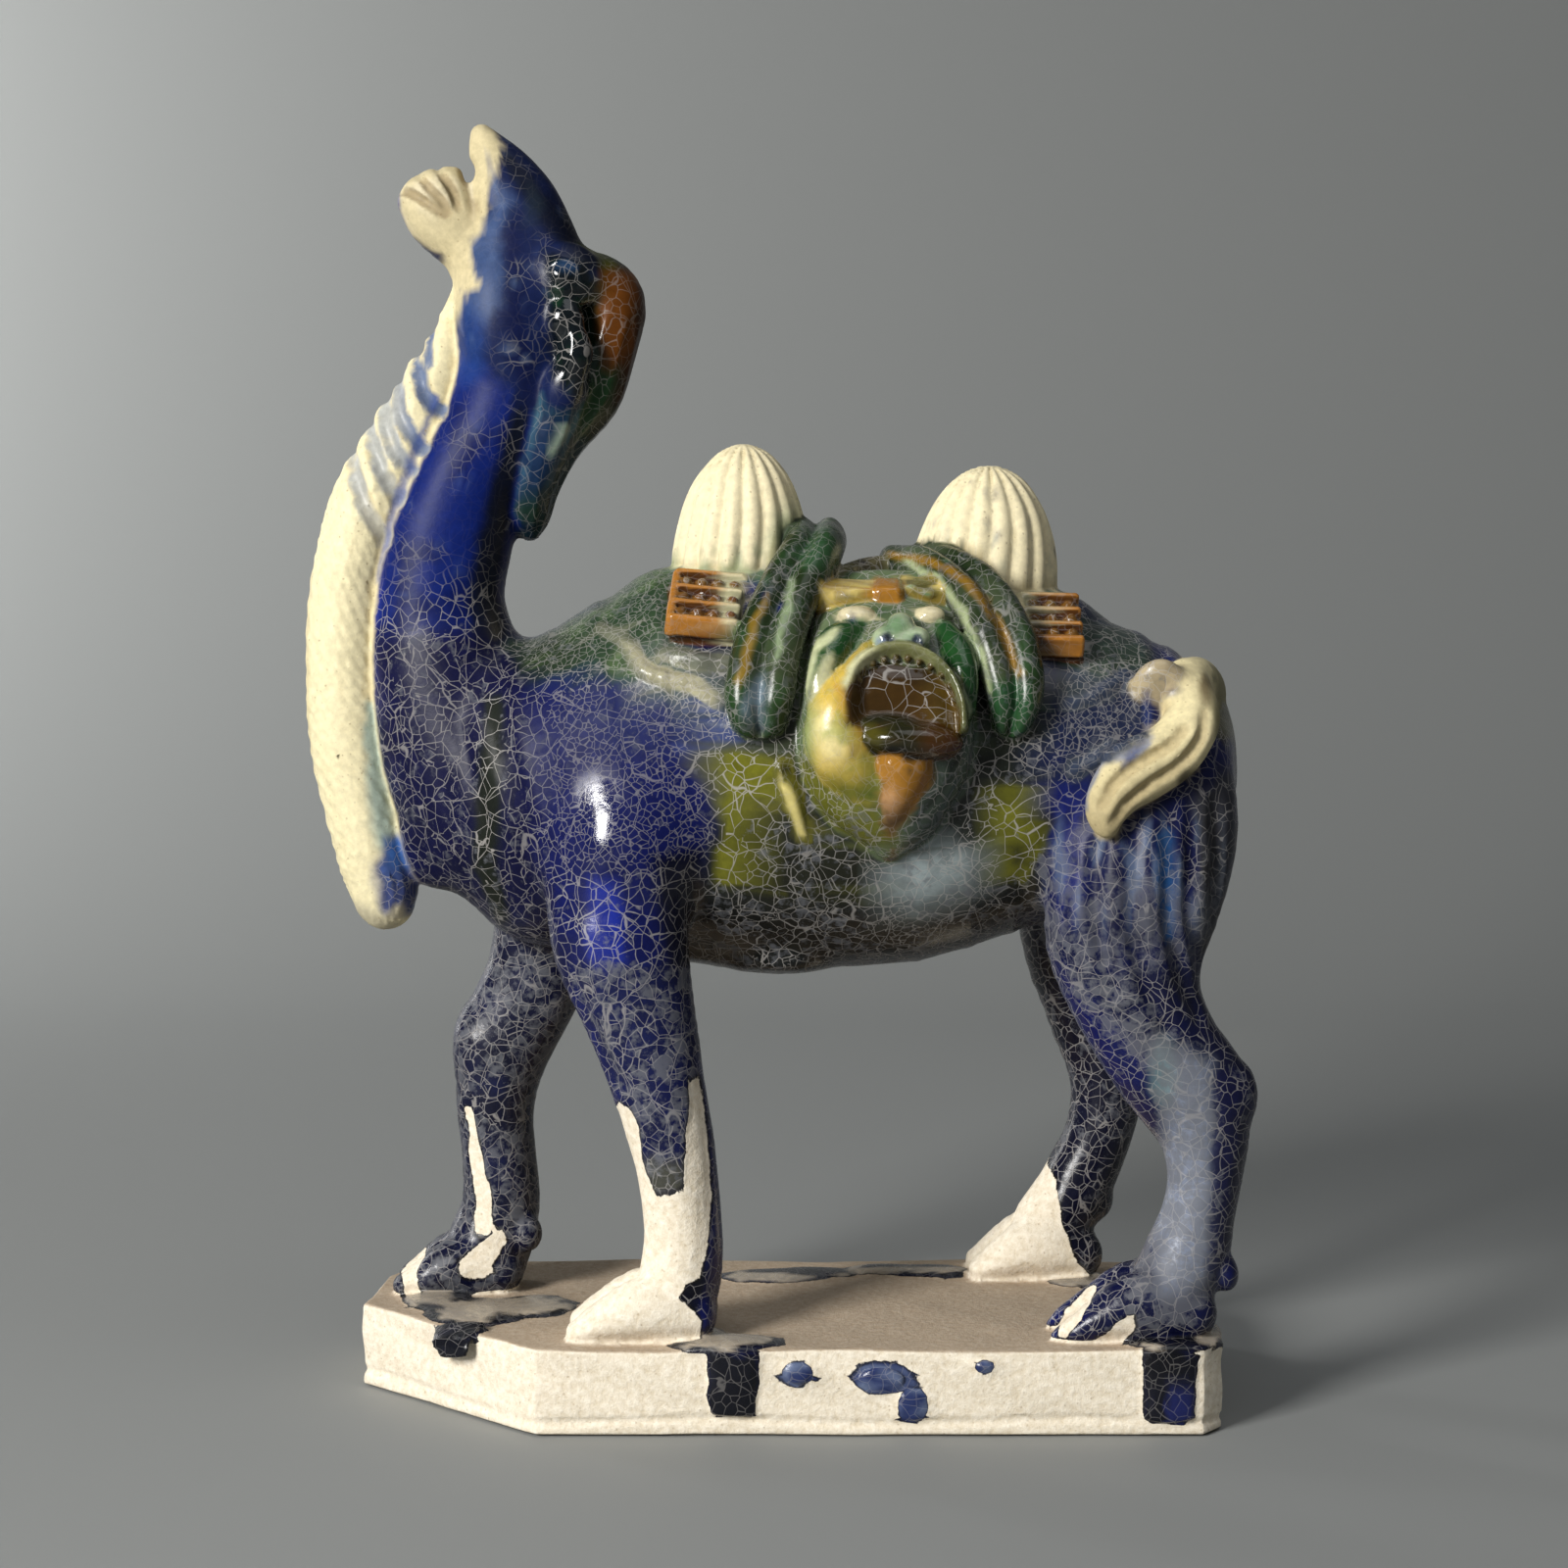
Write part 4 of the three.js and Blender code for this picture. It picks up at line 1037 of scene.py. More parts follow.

# Flank and belly: olive and dark grey glaze with fine pale lines, and painted shade under the belly
flank = area([
    (722, 690), (800, 640), (1000, 640), (1062, 680), (1064, 900), (1040, 1000), (712, 1000),
    (720, 880),
], 12, 2)
flank = flank * (1 - own_side)
lay("#1c1f15", flank, 0.95)
lay("#3f4632", flank * soft(middle_spots + small_spots, 0.1, 1.0), 0.6)
to(flank, haze=0.3, cell=0.35)
belly = area([
    (700, 905), (760, 925), (880, 915), (1000, 905), (1060, 900), (1060, 1000), (700, 1010),
], 14, 2)
lay("#121413", belly, 0.9)
to(belly, haze=0.32, cell=0.35)
belly_shade = oval(862, 925, 40, 26, 0.5, 2)
lay("#0c0d0c", belly_shade, 0.7)
# Painted shade: where the belly's underside faces down, the glaze is laid near black.
below_flank = seen_v > 900
lay("#0c0c0c", soft(-facing[:, 2], 0.5, 0.95) * below_flank * (1 - own_side), 0.7)

# Legs: cobalt with dark cells and grey matte ones
far_front_leg = own_side * area([(440, 930), (610, 930), (600, 1340), (380, 1340)], 6)
lay("#0b0d1e", far_front_leg, 0.85)
lay("#12183e", far_front_leg * soft(middle_spots, 0.0, 0.8), 0.6)
to(far_front_leg, haze=0.5)
far_knee = oval(500, 1120, 22, 24)
to(far_knee, haze=0.1)
front_leg = area([(580, 980), (720, 980), (712, 1110), (700, 1230), (655, 1210), (630, 1110)], 8)
lay("#0c1238", front_leg * (1 - own_side), 0.8)
to(front_leg, haze=0.5, cell=0.6)
to(far_front_leg, cell=0.65)
shin_fade = area([(650, 1180), (702, 1180), (695, 1215), (668, 1220)], 5)
lay("#4a4a3c", shin_fade, 0.8)
hind_leg = area([
    (1040, 930), (1290, 930), (1290, 1400), (1080, 1400), (1180, 1200), (1190, 1090), (1120, 1020),
], 10)
lay("#0b0f2c", hind_leg * (1 - own_side), 0.85)
hock_cloud = area([(1180, 1060), (1240, 1080), (1244, 1300), (1190, 1320), (1180, 1200), (1196, 1120)], 14)
lay("#7b8394", hock_cloud, 0.85)
hind_leg_haze = area([
    (1060, 940), (1120, 940), (1200, 1050), (1246, 1100), (1246, 1330), (1130, 1390), (1190, 1190),
    (1180, 1100), (1100, 1020),
], 12)
to(hind_leg_haze, haze=0.72)
hock_green = oval(1190, 1090, 14, 34)
lay("#77918f", hock_green, 0.5)
hock_edge = stripe([(1254, 1100, 14), (1252, 1180, 10), (1248, 1260, 10), (1240, 1310, 8)])
lay("#14163a", hock_edge, 0.8)
far_hind_leg = own_side * area([(1010, 930), (1190, 930), (1190, 1300), (1060, 1300)], 6)
lay("#090a16", far_hind_leg, 0.9)
to(far_hind_leg, haze=0.3)

# Thigh: combed streaks of milky and deep blue, grey along the front edge, painted shade along the back edge
thigh = area([
    (1064, 700), (1130, 690), (1250, 760), (1262, 880), (1240, 980), (1150, 990), (1080, 950),
    (1060, 850),
], 14)
thigh = thigh * (1 - own_side)
lay("#12173c", thigh, 0.9)
thigh_front = area([(1078, 760), (1112, 740), (1112, 900), (1090, 950), (1074, 880)], 9)
lay("#141d60", thigh_front, 0.8)
combing = mottle(place * [1, 1, 0.16], 1.8, 41)
streaks_start = soft(seen_v, 810, 850)
streaks_end = soft(-seen_v, -980, -900)
lay("#5d6c86", thigh * soft(combing, 0.05, 0.6) * streaks_start * streaks_end, 0.6)
dark_streaks_start = soft(seen_v, 800, 840)
lay("#0a0c26", thigh * soft(-combing, 0.15, 0.6) * dark_streaks_start, 0.7)
thigh_streak = stripe([(1190, 850, 6), (1192, 900, 9), (1196, 950, 5)], 0.7)
lay("#234f80", thigh_streak, 0.7)
# Painted shade: the thigh's back edge, turned away from the window, is laid in dark grey.
thigh_back_painted_shade = area([(1222, 800), (1262, 790), (1264, 900), (1240, 980), (1222, 960)], 10, 2)
lay("#33332f", thigh_back_painted_shade, 0.75)
to(thigh, haze=0.05)
low_thigh = soft(seen_v + 26 * middle_spots, 830, 930)
to(thigh * low_thigh, haze=0.62)
to(thigh, crackle=0.5, satin=0.8)
stifle = area([(1050, 840), (1090, 850), (1120, 960), (1180, 1040), (1120, 1040), (1070, 960)], 12, 2)
to(stifle, haze=0.62)
to(thigh, cell=0.6)
rump = area([(1064, 690), (1110, 660), (1170, 660), (1165, 740), (1110, 790), (1072, 790)], 12, 2)
lay("#182038", rump, 0.9)
rump_top = area([(1066, 640), (1100, 610), (1175, 655), (1150, 690), (1075, 700)], 12, 2)
lay("#35432f", rump_top, 0.8)
to(rump, haze=0.36, cell=0.15)

# Head: milky blue cheek, dark bridge of the nose, green-black ear, amber crown
head = area([(455, 130), (620, 130), (680, 300), (640, 420), (560, 430), (450, 330)], 12)
lay("#111c40", head, 0.9)
cheek_cloud = area([
    (500, 165), (522, 200), (520, 300), (500, 330), (476, 320), (470, 250), (496, 225),
], 10, 2)
lay("#3c5078", cheek_cloud, 0.75)
throat_blue = oval(478, 345, 22, 36, 0.6, 2)
lay("#254485", throat_blue, 0.5)
cheek_line = stripe([(527, 215, 9), (524, 270, 10), (528, 335, 10), (545, 400, 12)], 0.6)
lay("#0a1238", cheek_line, 0.8)
nose_bridge = stripe([(522, 155, 8), (548, 195, 12), (585, 235, 16), (610, 262, 10)], 0.6)
lay("#070b14", nose_bridge, 0.8)
nose_sheen = oval(545, 205, 12, 20, 0.6, 2)
lay("#24313c", nose_sheen, 0.4)
ear = area([(560, 250), (604, 262), (618, 300), (622, 380), (590, 408), (566, 380), (560, 310)], 8)
lay("#060d0c", ear, 0.95)
lay("#0a2a16", ear * soft(middle_spots + small_spots, 0.3, 1.0), 0.7)
ear_tip = oval(580, 268, 12, 8)
lay("#2a4a74", ear_tip * soft(ridge, 0.0, 0.4), 0.5)
to(ear, crackle=0.6, cell=0.6, satin=0.1)
to(head, haze=0.0)
to(head * soft(middle_spots + 0.5 * small_spots, -0.1, 0.8) * (1 - ear), haze=0.5)
behind_lip = soft(seen_u, 500, 530)
to(head * soft(middle_spots, -0.2, 0.6) * behind_lip * (1 - ear), crackle=0.4)
lay("#55688c", head * soft(small_spots + 0.6 * middle_spots, 0.4, 1.1) * (1 - ear), 0.5)
to(head * (1 - ear), satin=0.9)
crown = touch("crown", 2.6)
above_back = soft(-seen_v, -560, -540)
lay("#0e2418", crown * above_back, 0.85)
crown_green = area([(585, 400), (628, 360), (640, 400), (600, 440)], 8, 2)
lay("#23401f", crown * crown_green, 0.6)
crown_dark = stripe([(655, 320, 8), (640, 400, 14), (610, 440, 10)], 0.5)
lay("#26251a", crown * crown_dark, 0.9)
crown_olive = area([(590, 245), (632, 262), (622, 300), (598, 290)], 8)
lay("#45430c", crown * crown_olive, 0.9)
crown_amber = area([(612, 272), (660, 268), (662, 320), (646, 372), (618, 372), (610, 310)], 8)
lay("#5e340c", crown * crown_amber, 0.95)
crown_rim = stripe([(660, 290, 5), (652, 350, 6), (636, 400, 10)], 0.5)
lay("#2c1505", crown * crown_rim, 0.85)
side_lock = touch("side_lock", 1.6)
lay("#12293e", side_lock, 0.8)
upper_lock = soft(-seen_v, -520, -470)
lay("#456f80", side_lock * soft(ridge, 0.1, 0.5) * upper_lock, 0.7)
# Painted highlight: a pale streak near the top of the side lock.
lock_painted_highlight = stripe([(578, 430, 3), (569, 446, 5), (562, 460, 3)], 0.8)
lay("#9aab96", lock_painted_highlight, 0.7)
to(side_lock, crackle=0.3)
lower_lock = soft(seen_v, 480, 520)
lay("#11280f", side_lock * lower_lock, 0.8)

# Lips and throat: cream, with blue along the rim of the jaw
lip = area([
    (480, 116), (502, 118), (516, 140), (510, 166), (502, 176), (498, 220), (488, 240), (476, 236),
    (480, 200),
], 3, 1)
jaw = area([
    (398, 200), (408, 174), (440, 158), (472, 162), (484, 196), (500, 208), (496, 226), (484, 238),
    (486, 266), (490, 288), (478, 298), (466, 276), (454, 256), (430, 240), (408, 226),
], 3, 1)
throat = stripe([(466, 260, 11), (464, 300, 9), (456, 350, 9), (452, 392, 8)], 0.35)
upper_throat = seen_v < 400
pale = np.maximum(np.maximum(lip, jaw), throat * upper_throat)
lay("#c4b791", pale)
lay("#dcd1b4", pale * soft(ridge, 0.15, 0.5), 0.6)
lay("#8d7c5c", jaw * soft(hollow, 0.05, 0.4), 0.75)
jaw_rim = stripe([(409, 188, 3), (409, 212, 4), (420, 238, 4), (440, 262, 3)], 0.6, 0)
lay("#28366c", jaw_rim, 0.8)
lip_rim = stripe([(500, 150, 2), (506, 170, 3), (502, 200, 2)], 0.6)
lay("#3a4c7a", lip_rim, 0.4)

# Fringe: cream locks, blue run between their inner ends, a blue patch at the end of the beard
behind_fringe = seen_u > 474
fringe = touch("fringe", 2.4, 0) * (1 - jaw) * (1 - head * behind_fringe)
lay("#dfd4ac", fringe)
lay("#c9b98c", fringe * soft(hollow + 0.25 * small_spots, 0.08, 0.42), 0.6)
below_jaw = soft(seen_v, 300, 340)
between_locks = touch("lock_stroke", 0.9) * fringe * below_jaw
upper_fringe = soft(-seen_v, -640, -470)
lay("#8a95a2", between_locks * upper_fringe, 0.7)
by_neck = soft(seen_u, 400, 430)
top_fringe = soft(-seen_v, -520, -440)
lay("#465c84", between_locks * by_neck * top_fringe, 0.8)
fringe_root = stripe([(448, 400, 3), (425, 455, 5), (402, 520, 4), (388, 590, 3)], 0.6)
lay("#3b4f8c", fringe * fringe_root, 0.7)
fringe_run = stripe([(376, 715, 5), (382, 790, 9), (392, 850, 12)], 0.7)
lay("#8ea9a4", fringe * fringe_run, 0.75)
low_blue = fringe * area([(386, 846), (412, 850), (440, 880), (430, 925), (396, 925), (380, 890)], 8, 2)
lay("#1d3472", low_blue, 0.95)
lay("#2f64a8", low_blue * soft(middle_spots, 0.2, 0.8), 0.6)
beard_end = stripe([(360, 925, 9), (395, 942, 8)], 0.6)
lay("#a19a86", fringe * beard_end, 0.6)
pale = np.maximum(pale, fringe * (1 - low_blue) * (1 - 0.5 * between_locks))

# Humps and tail: cream, with green run round the humps' feet and brown blotches on the tail
humps = touch("hump", 1.2)
lay("#e4d8b2", humps)
lay("#b5a67c", humps * soft(hollow, 0.03, 0.32), 0.8)
hump_shade = oval(800, 545, 20, 34, 0.6, 2)
lay("#7f9470", humps * hump_shade, 0.6)
front_foot = area([(680, 560), (860, 560), (860, 600), (680, 600)], 8, 2)
lay("#5f7f5a", humps * front_foot * soft(small_spots, -0.3, 0.6), 0.6)
rear_foot = area([(900, 545), (990, 530), (1080, 570), (1090, 620), (900, 600)], 12, 2) * (1 - humps)
lay("#567550", rear_foot, 0.85)
lay("#8fa98a", rear_foot * soft(middle_spots, 0.0, 0.8), 0.6)
back_cloth = area([(680, 560), (700, 540), (860, 530), (880, 580), (830, 600), (690, 590)], 8, 2)
back_cloth = back_cloth * (1 - humps)
lay("#55704e", back_cloth, 0.8)
tail_start = soft(seen_v, 655, 670)
tail = touch("tail", 1.2) * tail_start
lay("#dccfa2", tail)
lay("#b3a27a", tail * soft(hollow, 0.05, 0.35), 0.65)
tail_curl = soft(seen_v, 740, 850)
lay("#a08f68", tail * tail_curl, 0.7)
tail_blotch = oval(1232, 693, 8, 13, 0.5, 2)
lay("#5c4a2c", tail * tail_blotch, 0.8)
tail_under = stripe([(1172, 744, 5), (1142, 764, 7), (1120, 786, 7), (1110, 815, 5)], 0.6, 2)
lay("#5a6b92", tail * tail_under, 0.75)
tail_spot = oval(1213, 786, 9, 8, 0.5, 2)
lay("#4a4536", tail * tail_spot, 0.85)
tail_root = area([(1238, 672), (1262, 690), (1262, 750), (1240, 750)], 5)
lay("#54522c", tail_root, 0.8)
web_front = seen_u < 1210
lay("#b7a784", touch("tail_web", 1.6) * (1 - tail) * web_front, 0.8)
tail_shadow = stripe([(1168, 700, 4), (1172, 740, 4), (1150, 775, 4)], 0.6)
lay("#2c3a6c", tail_shadow, 0.6)
pale = np.maximum(pale, np.maximum(humps, tail))

# Olive panels hang below the pack, a blue-grey cloud behind them
front_panel = area([(726, 760), (782, 764), (790, 830), (800, 905), (760, 920), (730, 900)], 5, 2)
back_panel = area([(1010, 800), (1068, 750), (1066, 860), (1040, 900), (1004, 890)], 5, 2)
panels = np.maximum(front_panel, back_panel) * (1 - own_side)
flank_low = area([
    (728, 850), (800, 850), (900, 860), (1000, 860), (1060, 850), (1050, 905), (960, 925), (800, 925),
], 10, 2)
lay("#1c1d12", flank_low, 0.85)
lay("#3f4018", flank_low * soft(middle_spots + small_spots, 0.2, 1.0), 0.7)
lay("#65651a", panels, 0.95)
lay("#30310f", panels * soft(middle_spots + 0.5 * small_spots, 0.0, 0.8), 0.8)
to(panels, cell=0.9, crackle=1.0, haze=0.12)
belly_cloud = oval(950, 880, 42, 38, 0.7, 2)
lay("#9aa6a8", belly_cloud * (py < 0), 0.9)
to(flank_low * (1 - panels), haze=0.3, cell=0.4)

# Cloth rolls and edges of the saddle cloth
saddle_side = area([(640, 655), (690, 640), (740, 690), (740, 760), (700, 750)], 10, 2)
lay("#56605a", saddle_side, 0.7)
saddle_blue = area([(690, 700), (745, 710), (745, 760), (700, 760)], 8, 2)
lay("#3c4a86", saddle_blue, 0.7)
to(saddle_side, cell=0.2)
cloth = touch("cloth", 1.2)
lay("#1d2a12", cloth)
lay("#4b4c1c", cloth * soft(ridge, 0.0, 0.4), 0.55)
lay("#22401f", cloth * soft(middle_spots + 0.5 * small_spots, 0.1, 0.9), 0.75)
lay("#0a1a0a", cloth * soft(hollow, 0.0, 0.4), 0.9)
lay("#7d8c62", cloth * soft(ridge, 0.25, 0.6) * soft(-large_spots, -0.5, 0.4), 0.6)
lay("#5c674c", cloth * soft(large_spots, -0.2, 0.8), 0.4)
roll_top = oval(830, 558, 26, 22, 0.6, 2)
lay("#2c4f30", cloth * roll_top, 0.7)
front_roll_light = stripe([(808, 590, 4), (799, 635, 4), (792, 668, 3)], 0.7)
lay("#8b9c78", cloth * front_roll_light, 0.7)
front_roll_amber = stripe([(782, 600, 3), (766, 645, 5), (754, 690, 4)], 0.7)
lay("#83671e", cloth * front_roll_amber, 0.8)
front_roll_end = oval(771, 714, 13, 26, 0.6, 2)
lay("#6c7d8c", cloth * front_roll_end, 0.7)
back_roll_light = stripe([(925, 568, 4), (955, 586, 4), (982, 622, 4), (1000, 662, 4), (1010, 700, 3)], 0.7)
lay("#a8b389", cloth * back_roll_light, 0.8)
back_roll_amber = stripe([(905, 562, 3), (950, 566, 4), (990, 592, 5), (1020, 632, 5), (1040, 680, 4)], 0.7)
lay("#84621a", cloth * back_roll_amber, 0.85)
back_roll_end = area([(1016, 690), (1056, 690), (1056, 745), (1030, 765), (1016, 740)], 8, 2)
lay("#1c4527", cloth * back_roll_end, 0.8)
cloth_edge = touch("cloth_edge", 1.0) * (1 - cloth)
lay("#6c6e5c", cloth_edge, 0.8)
behind_pack = seen_u > 1000
lay("#27324a", cloth_edge * behind_pack, 0.9)
edge_light = area([(636, 650), (730, 690), (728, 716), (660, 690)], 8)
lay("#a8a284", cloth_edge * edge_light, 0.8)

# Slatted boards: amber, dark in the valleys, fading to cream beside the rolls
board = np.maximum.reduce([touch("board", 0.8, 0), touch("slat", 0.7, 0), touch("frame", 0.7, 0)])
board = board * (1 - cloth)
lay("#7c4614", board)
lay("#bb7e30", board * soft(ridge, 0.25, 0.65), 0.75)
lay("#2a1004", board * soft(hollow, -0.05, 0.3), 0.9)
lay("#6e4812", touch("stud", 0.5, 0), 0.85)
beside_front_roll = soft(seen_u, 728, 744) * (seen_u < 800)
beside_back_roll = soft(-seen_u, -1058, -1046) * (seen_u > 1000)
faded = board * np.maximum(beside_front_roll, beside_back_roll)
lay("#d2c9a0", faded, 0.9)
lay("#6a7258", faded * soft(hollow, 0.0, 0.3), 0.5)

# Bag and mask
bag = touch("bag", 1.6) * (1 - cloth)
lay("#5c6a4c", bag, 0.95)
lay("#33502c", bag * soft(middle_spots, 0.0, 0.7), 0.6)
bag_olive = area([(800, 760), (880, 790), (915, 860), (850, 870), (806, 800)], 10, 2)
lay("#5c5c18", bag * bag_olive, 0.9)
bag_grey = area([(925, 800), (975, 740), (1040, 740), (1010, 850), (920, 890)], 10, 2)
lay("#3f4a44", bag * bag_grey, 0.85)
# Painted shadow: a dark line along the bag's lower right edge, where it stands off the body.
bag_edge_painted_shadow = stripe([(985, 745, 4), (970, 790, 4), (935, 830, 3)], 0.6)
lay("#0c0f0c", bag_edge_painted_shadow, 0.7)
lay("#5f5a3c", touch("mask_band", 0.9), 0.9)
brows = touch("brow_block", 0.9)
lay("#c8b266", brows, 0.95)
lay("#77622a", brows * soft(small_spots + 0.6 * middle_spots, 0.0, 0.7), 0.7)
lay("#5c4216", brows * soft(hollow + 0.3 * small_spots, 0.1, 0.5), 0.7)
right_brow = seen_u > 925
lay("#3f4420", brows * right_brow * soft(small_spots, -0.6, 0.3), 0.8)
lay("#8a7630", brows * soft(hollow, 0.1, 0.4), 0.7)
lay("#9c6a1e", touch("brow_middle", 0.8), 0.95)
left_brow = seen_u < 925
lay("#b9a866", touch("brow_curl", 0.6) * left_brow, 0.6)
lay("#d3c8a2", touch("mask_eye", 0.8), 0.95)
eye_line = area([(850, 632), (885, 632), (885, 642), (850, 642)], 3)
lay("#7c7848", eye_line, 0.6)
cheeks = touch("mask_cheek", 0.9)
lay("#1a421c", cheeks, 0.95)
lay("#092210", cheeks * soft(middle_spots, 0.0, 0.7), 0.6)
lay("#a9b48c", cheeks * soft(ridge, 0.25, 0.7), 0.6)
cheek_rim = stripe([(852, 640, 4), (830, 655, 6), (820, 690, 6), (816, 725, 5)], 0.6)
lay("#c9cda0", cheeks * cheek_rim, 0.85)
cheek_light = stripe([(846, 668, 6), (836, 690, 7), (830, 712, 6)], 0.6)
lay("#c9c79c", cheek_light, 0.8)
snout = touch("snout", 0.9)
lay("#9fae8a", snout, 0.95)
snout_bridge = oval(912, 632, 14, 9)
lay("#3f6a44", snout * snout_bridge, 0.7)
snout_side = oval(930, 652, 12, 12)
lay("#7f9c78", snout * snout_side, 0.6)
lay("#141c40", touch("mask_nostril", 1.0), 0.9)
snout_blue = oval(900, 650, 6, 6)
lay("#6c7ba0", snout_blue * snout, 0.6)
pouch = touch("pouch", 1.0)
lay("#c6aa4c", pouch, 0.95)
# Pale cream glaze on the pouch, brightened further as a painted highlight.
pouch_cream_and_painted_highlight = oval(846, 748, 17, 30, 0.7, 2)
lay("#e0d49c", pouch * pouch_cream_and_painted_highlight, 0.8)
lay("#8c9650", pouch * soft(small_spots + middle_spots, 0.0, 0.8), 0.6)
pouch_left = soft(-seen_u, -842, -818)
lay("#6f8a58", pouch * pouch_left, 0.85)
pouch_foot = soft(seen_v + 12 * middle_spots, 766, 800)
lay("#545c1a", pouch * pouch_foot, 0.9)
pouch_right = soft(seen_u, 872, 892)
lay("#4d5a24", pouch * pouch_right, 0.7)
pouch_amber = area([(852, 690), (880, 700), (884, 760), (862, 730)], 6)
lay("#b98a2c", pouch * pouch_amber, 0.7)
throat_hole = area([
    (863, 738), (862, 702), (871, 684), (890, 674), (930, 673), (955, 682), (973, 702), (982, 728),
    (980, 745), (955, 745), (925, 735), (890, 732),
], 2.5)
teeth = touch("teeth", 0.5, 0)
mouth = np.maximum(touch("mask_mouth", 1.7), throat_hole * (py < -30)) * (1 - teeth)
lay("#3d2a0e", mouth)
# Painted shade: the top of the mouth, under the lip arch, is darkened.
under_arch = soft(-seen_v, -700, -680)
lay("#22170a", mouth * under_arch, 0.7)
mouth_right = soft(seen_u + 8 * small_spots, 935, 965)
lay("#5a4718", mouth * mouth_right, 0.6)
to(mouth, cell=0.9)
arch = touch("lip_arch", 0.8) * (1 - mouth)
lay("#75774c", arch, 0.9)
arch_left = soft(-seen_u, -905, -880)
arch_top = soft(-seen_v, -730, -690)
lay("#c9c79c", arch * arch_left * arch_top, 0.8)
arch_right = soft(seen_u, 945, 965)
lay("#4c5230", arch * arch_right, 0.8)
lay("#4a3c1a", teeth, 0.85)
tongue = touch("mask_tongue", 0.8)
lay("#1c1c08", tongue)
tongue_right = soft(seen_u, 925, 960)
lay("#4a2a0c", tongue * tongue_right, 0.8)
tongue_root = oval(886, 742, 16, 14, 0.6, 2)
lay("#4f4a12", tongue * tongue_root, 0.7)
# Painted shade: the dark slot of the mouth's lower opening, along the tongue's lower edge.
mouth_slot_painted_shade = oval(906, 763, 20, 6, 0.5)
lay("#050503", tongue * mouth_slot_painted_shade, 0.9)
chin = touch("mask_chin", 0.9)
lay("#9c6c22", chin, 0.95)
chin_light = oval(906, 818, 14, 18, 0.6)
lay("#b48c66", chin * chin_light, 0.7)
chin_foot = soft(seen_v, 806, 840)
lay("#332616", chin * chin_foot, 0.95)
# Painted shade: the crease between tongue and chin is laid near black.
lay("#0c0d0a", touch("lip_crease", 0.9), 0.9)
strap = touch("drip", 1.2)
lay("#5f5c1e", strap, 0.9)
strap_light = stripe([(801, 798, 4), (810, 822, 5), (817, 846, 3)], 0.6)
lay("#cdbf78", strap * strap_light, 0.9)
strap_mark = oval(800, 782, 6, 8)
lay("#101209", strap_mark, 0.8)
MASK_FORMS = (
    "brow_block", "brow_middle", "mask_eye", "snout", "lip_arch",
    "mask_cheek", "mask_tongue", "mask_chin", "pouch", "drip",
)
moulded = np.maximum.reduce([touch(name, 1.0) for name in MASK_FORMS])
wet = np.maximum.reduce([moulded, mouth, board])
to(wet, haze=0.0)
to(cloth, haze=0.34)
to(moulded, crackle=0.2)
to(wet, satin=0.2)
to(np.maximum(cloth, pouch), satin=0.45)
to(cloth, crackle=0.45)
to(crown * (1 - ear), crackle=0.35)
to(board, crackle=0.2)
to(pale, haze=0.0, crackle=0.0)

# Bare clay: the feet below the glaze's last tongues, and the slab
leg_clay = np.maximum.reduce([touch(name, 2.5, 0) for name in (*LEGS, "spur")])
near_foot = area([
    (622, 1122), (640, 1122), (650, 1145), (655, 1187), (666, 1210), (680, 1218), (693, 1207),
    (698, 1187), (701, 1150), (704, 1096), (714, 1092), (721, 1150), (726, 1230), (718, 1290),
    (702, 1306), (690, 1320), (716, 1342), (712, 1400), (560, 1400), (560, 1290), (628, 1270),
], 6)
far_hind_foot = area([
    (1078, 1150), (1070, 1180), (1080, 1207), (1087, 1239), (1103, 1285), (1125, 1300), (1120, 1330),
    (960, 1330), (960, 1270), (1040, 1190),
], 6)
bare = np.maximum(bare, leg_clay * near_foot * (py < -10))
bare = np.maximum(bare, leg_clay * far_hind_foot * (py > 5))
far_front_streaks = np.maximum.reduce([
    stripe([(474, 1126, 2), (481, 1165, 5), (489, 1215, 8), (490, 1246, 9)], 0.6),
    stripe([(504, 1262, 9), (480, 1288, 15)], 0.5),
    stripe([(430, 1258, 4), (412, 1298, 8), (418, 1322, 8)], 0.6),
])
bare = np.maximum(bare, leg_clay * far_front_streaks * own_side)
near_hind_streaks = np.maximum(
    stripe([(1118, 1312, 6), (1100, 1335, 9), (1090, 1353, 7)], 0.6),
    stripe([(1160, 1345, 7), (1140, 1362, 9), (1120, 1374, 6)], 0.6),
)
bare = np.maximum(bare, leg_clay * near_hind_streaks * (py < -20))
hind_toe_dark = oval(1082, 1368, 18, 12)
lay("#0b0c10", leg_clay * hind_toe_dark, 0.9)
front_heel_dark = stripe([(712, 1296, 8), (700, 1325, 12), (704, 1345, 9)])
lay("#0a0b0f", leg_clay * front_heel_dark, 0.9)
slab_clay = touch("slab", 1.2, 0) * (1 - soft(pz, 1.6, 3.4))
pool = touch("pool", 1.4, 1) * soft(pz, -1.0, 0.4)
slab_drip = touch("slab_drip", 1.3)
spots = touch("slab_spot", 0.9, 0)
on_slab = np.maximum.reduce([pool, slab_drip, spots])
bare = np.maximum(bare, slab_clay * (1 - on_slab))
lay("#0d0e10", np.maximum(pool, slab_drip) * (pz < 2.6), 0.95)
lay("#b0a492", pool * (pz < 2.6) * soft(touch("pool", 0.7, 2) - 0.3 * small_spots, 0.3, 0.9), 0.85)
tail_end = seen_u > 1196
drip_foot = soft(seen_v, 1400, 1425)
lay("#1c2358", slab_drip * tail_end * drip_foot, 0.9)
lay("#26325c", spots, 0.95)
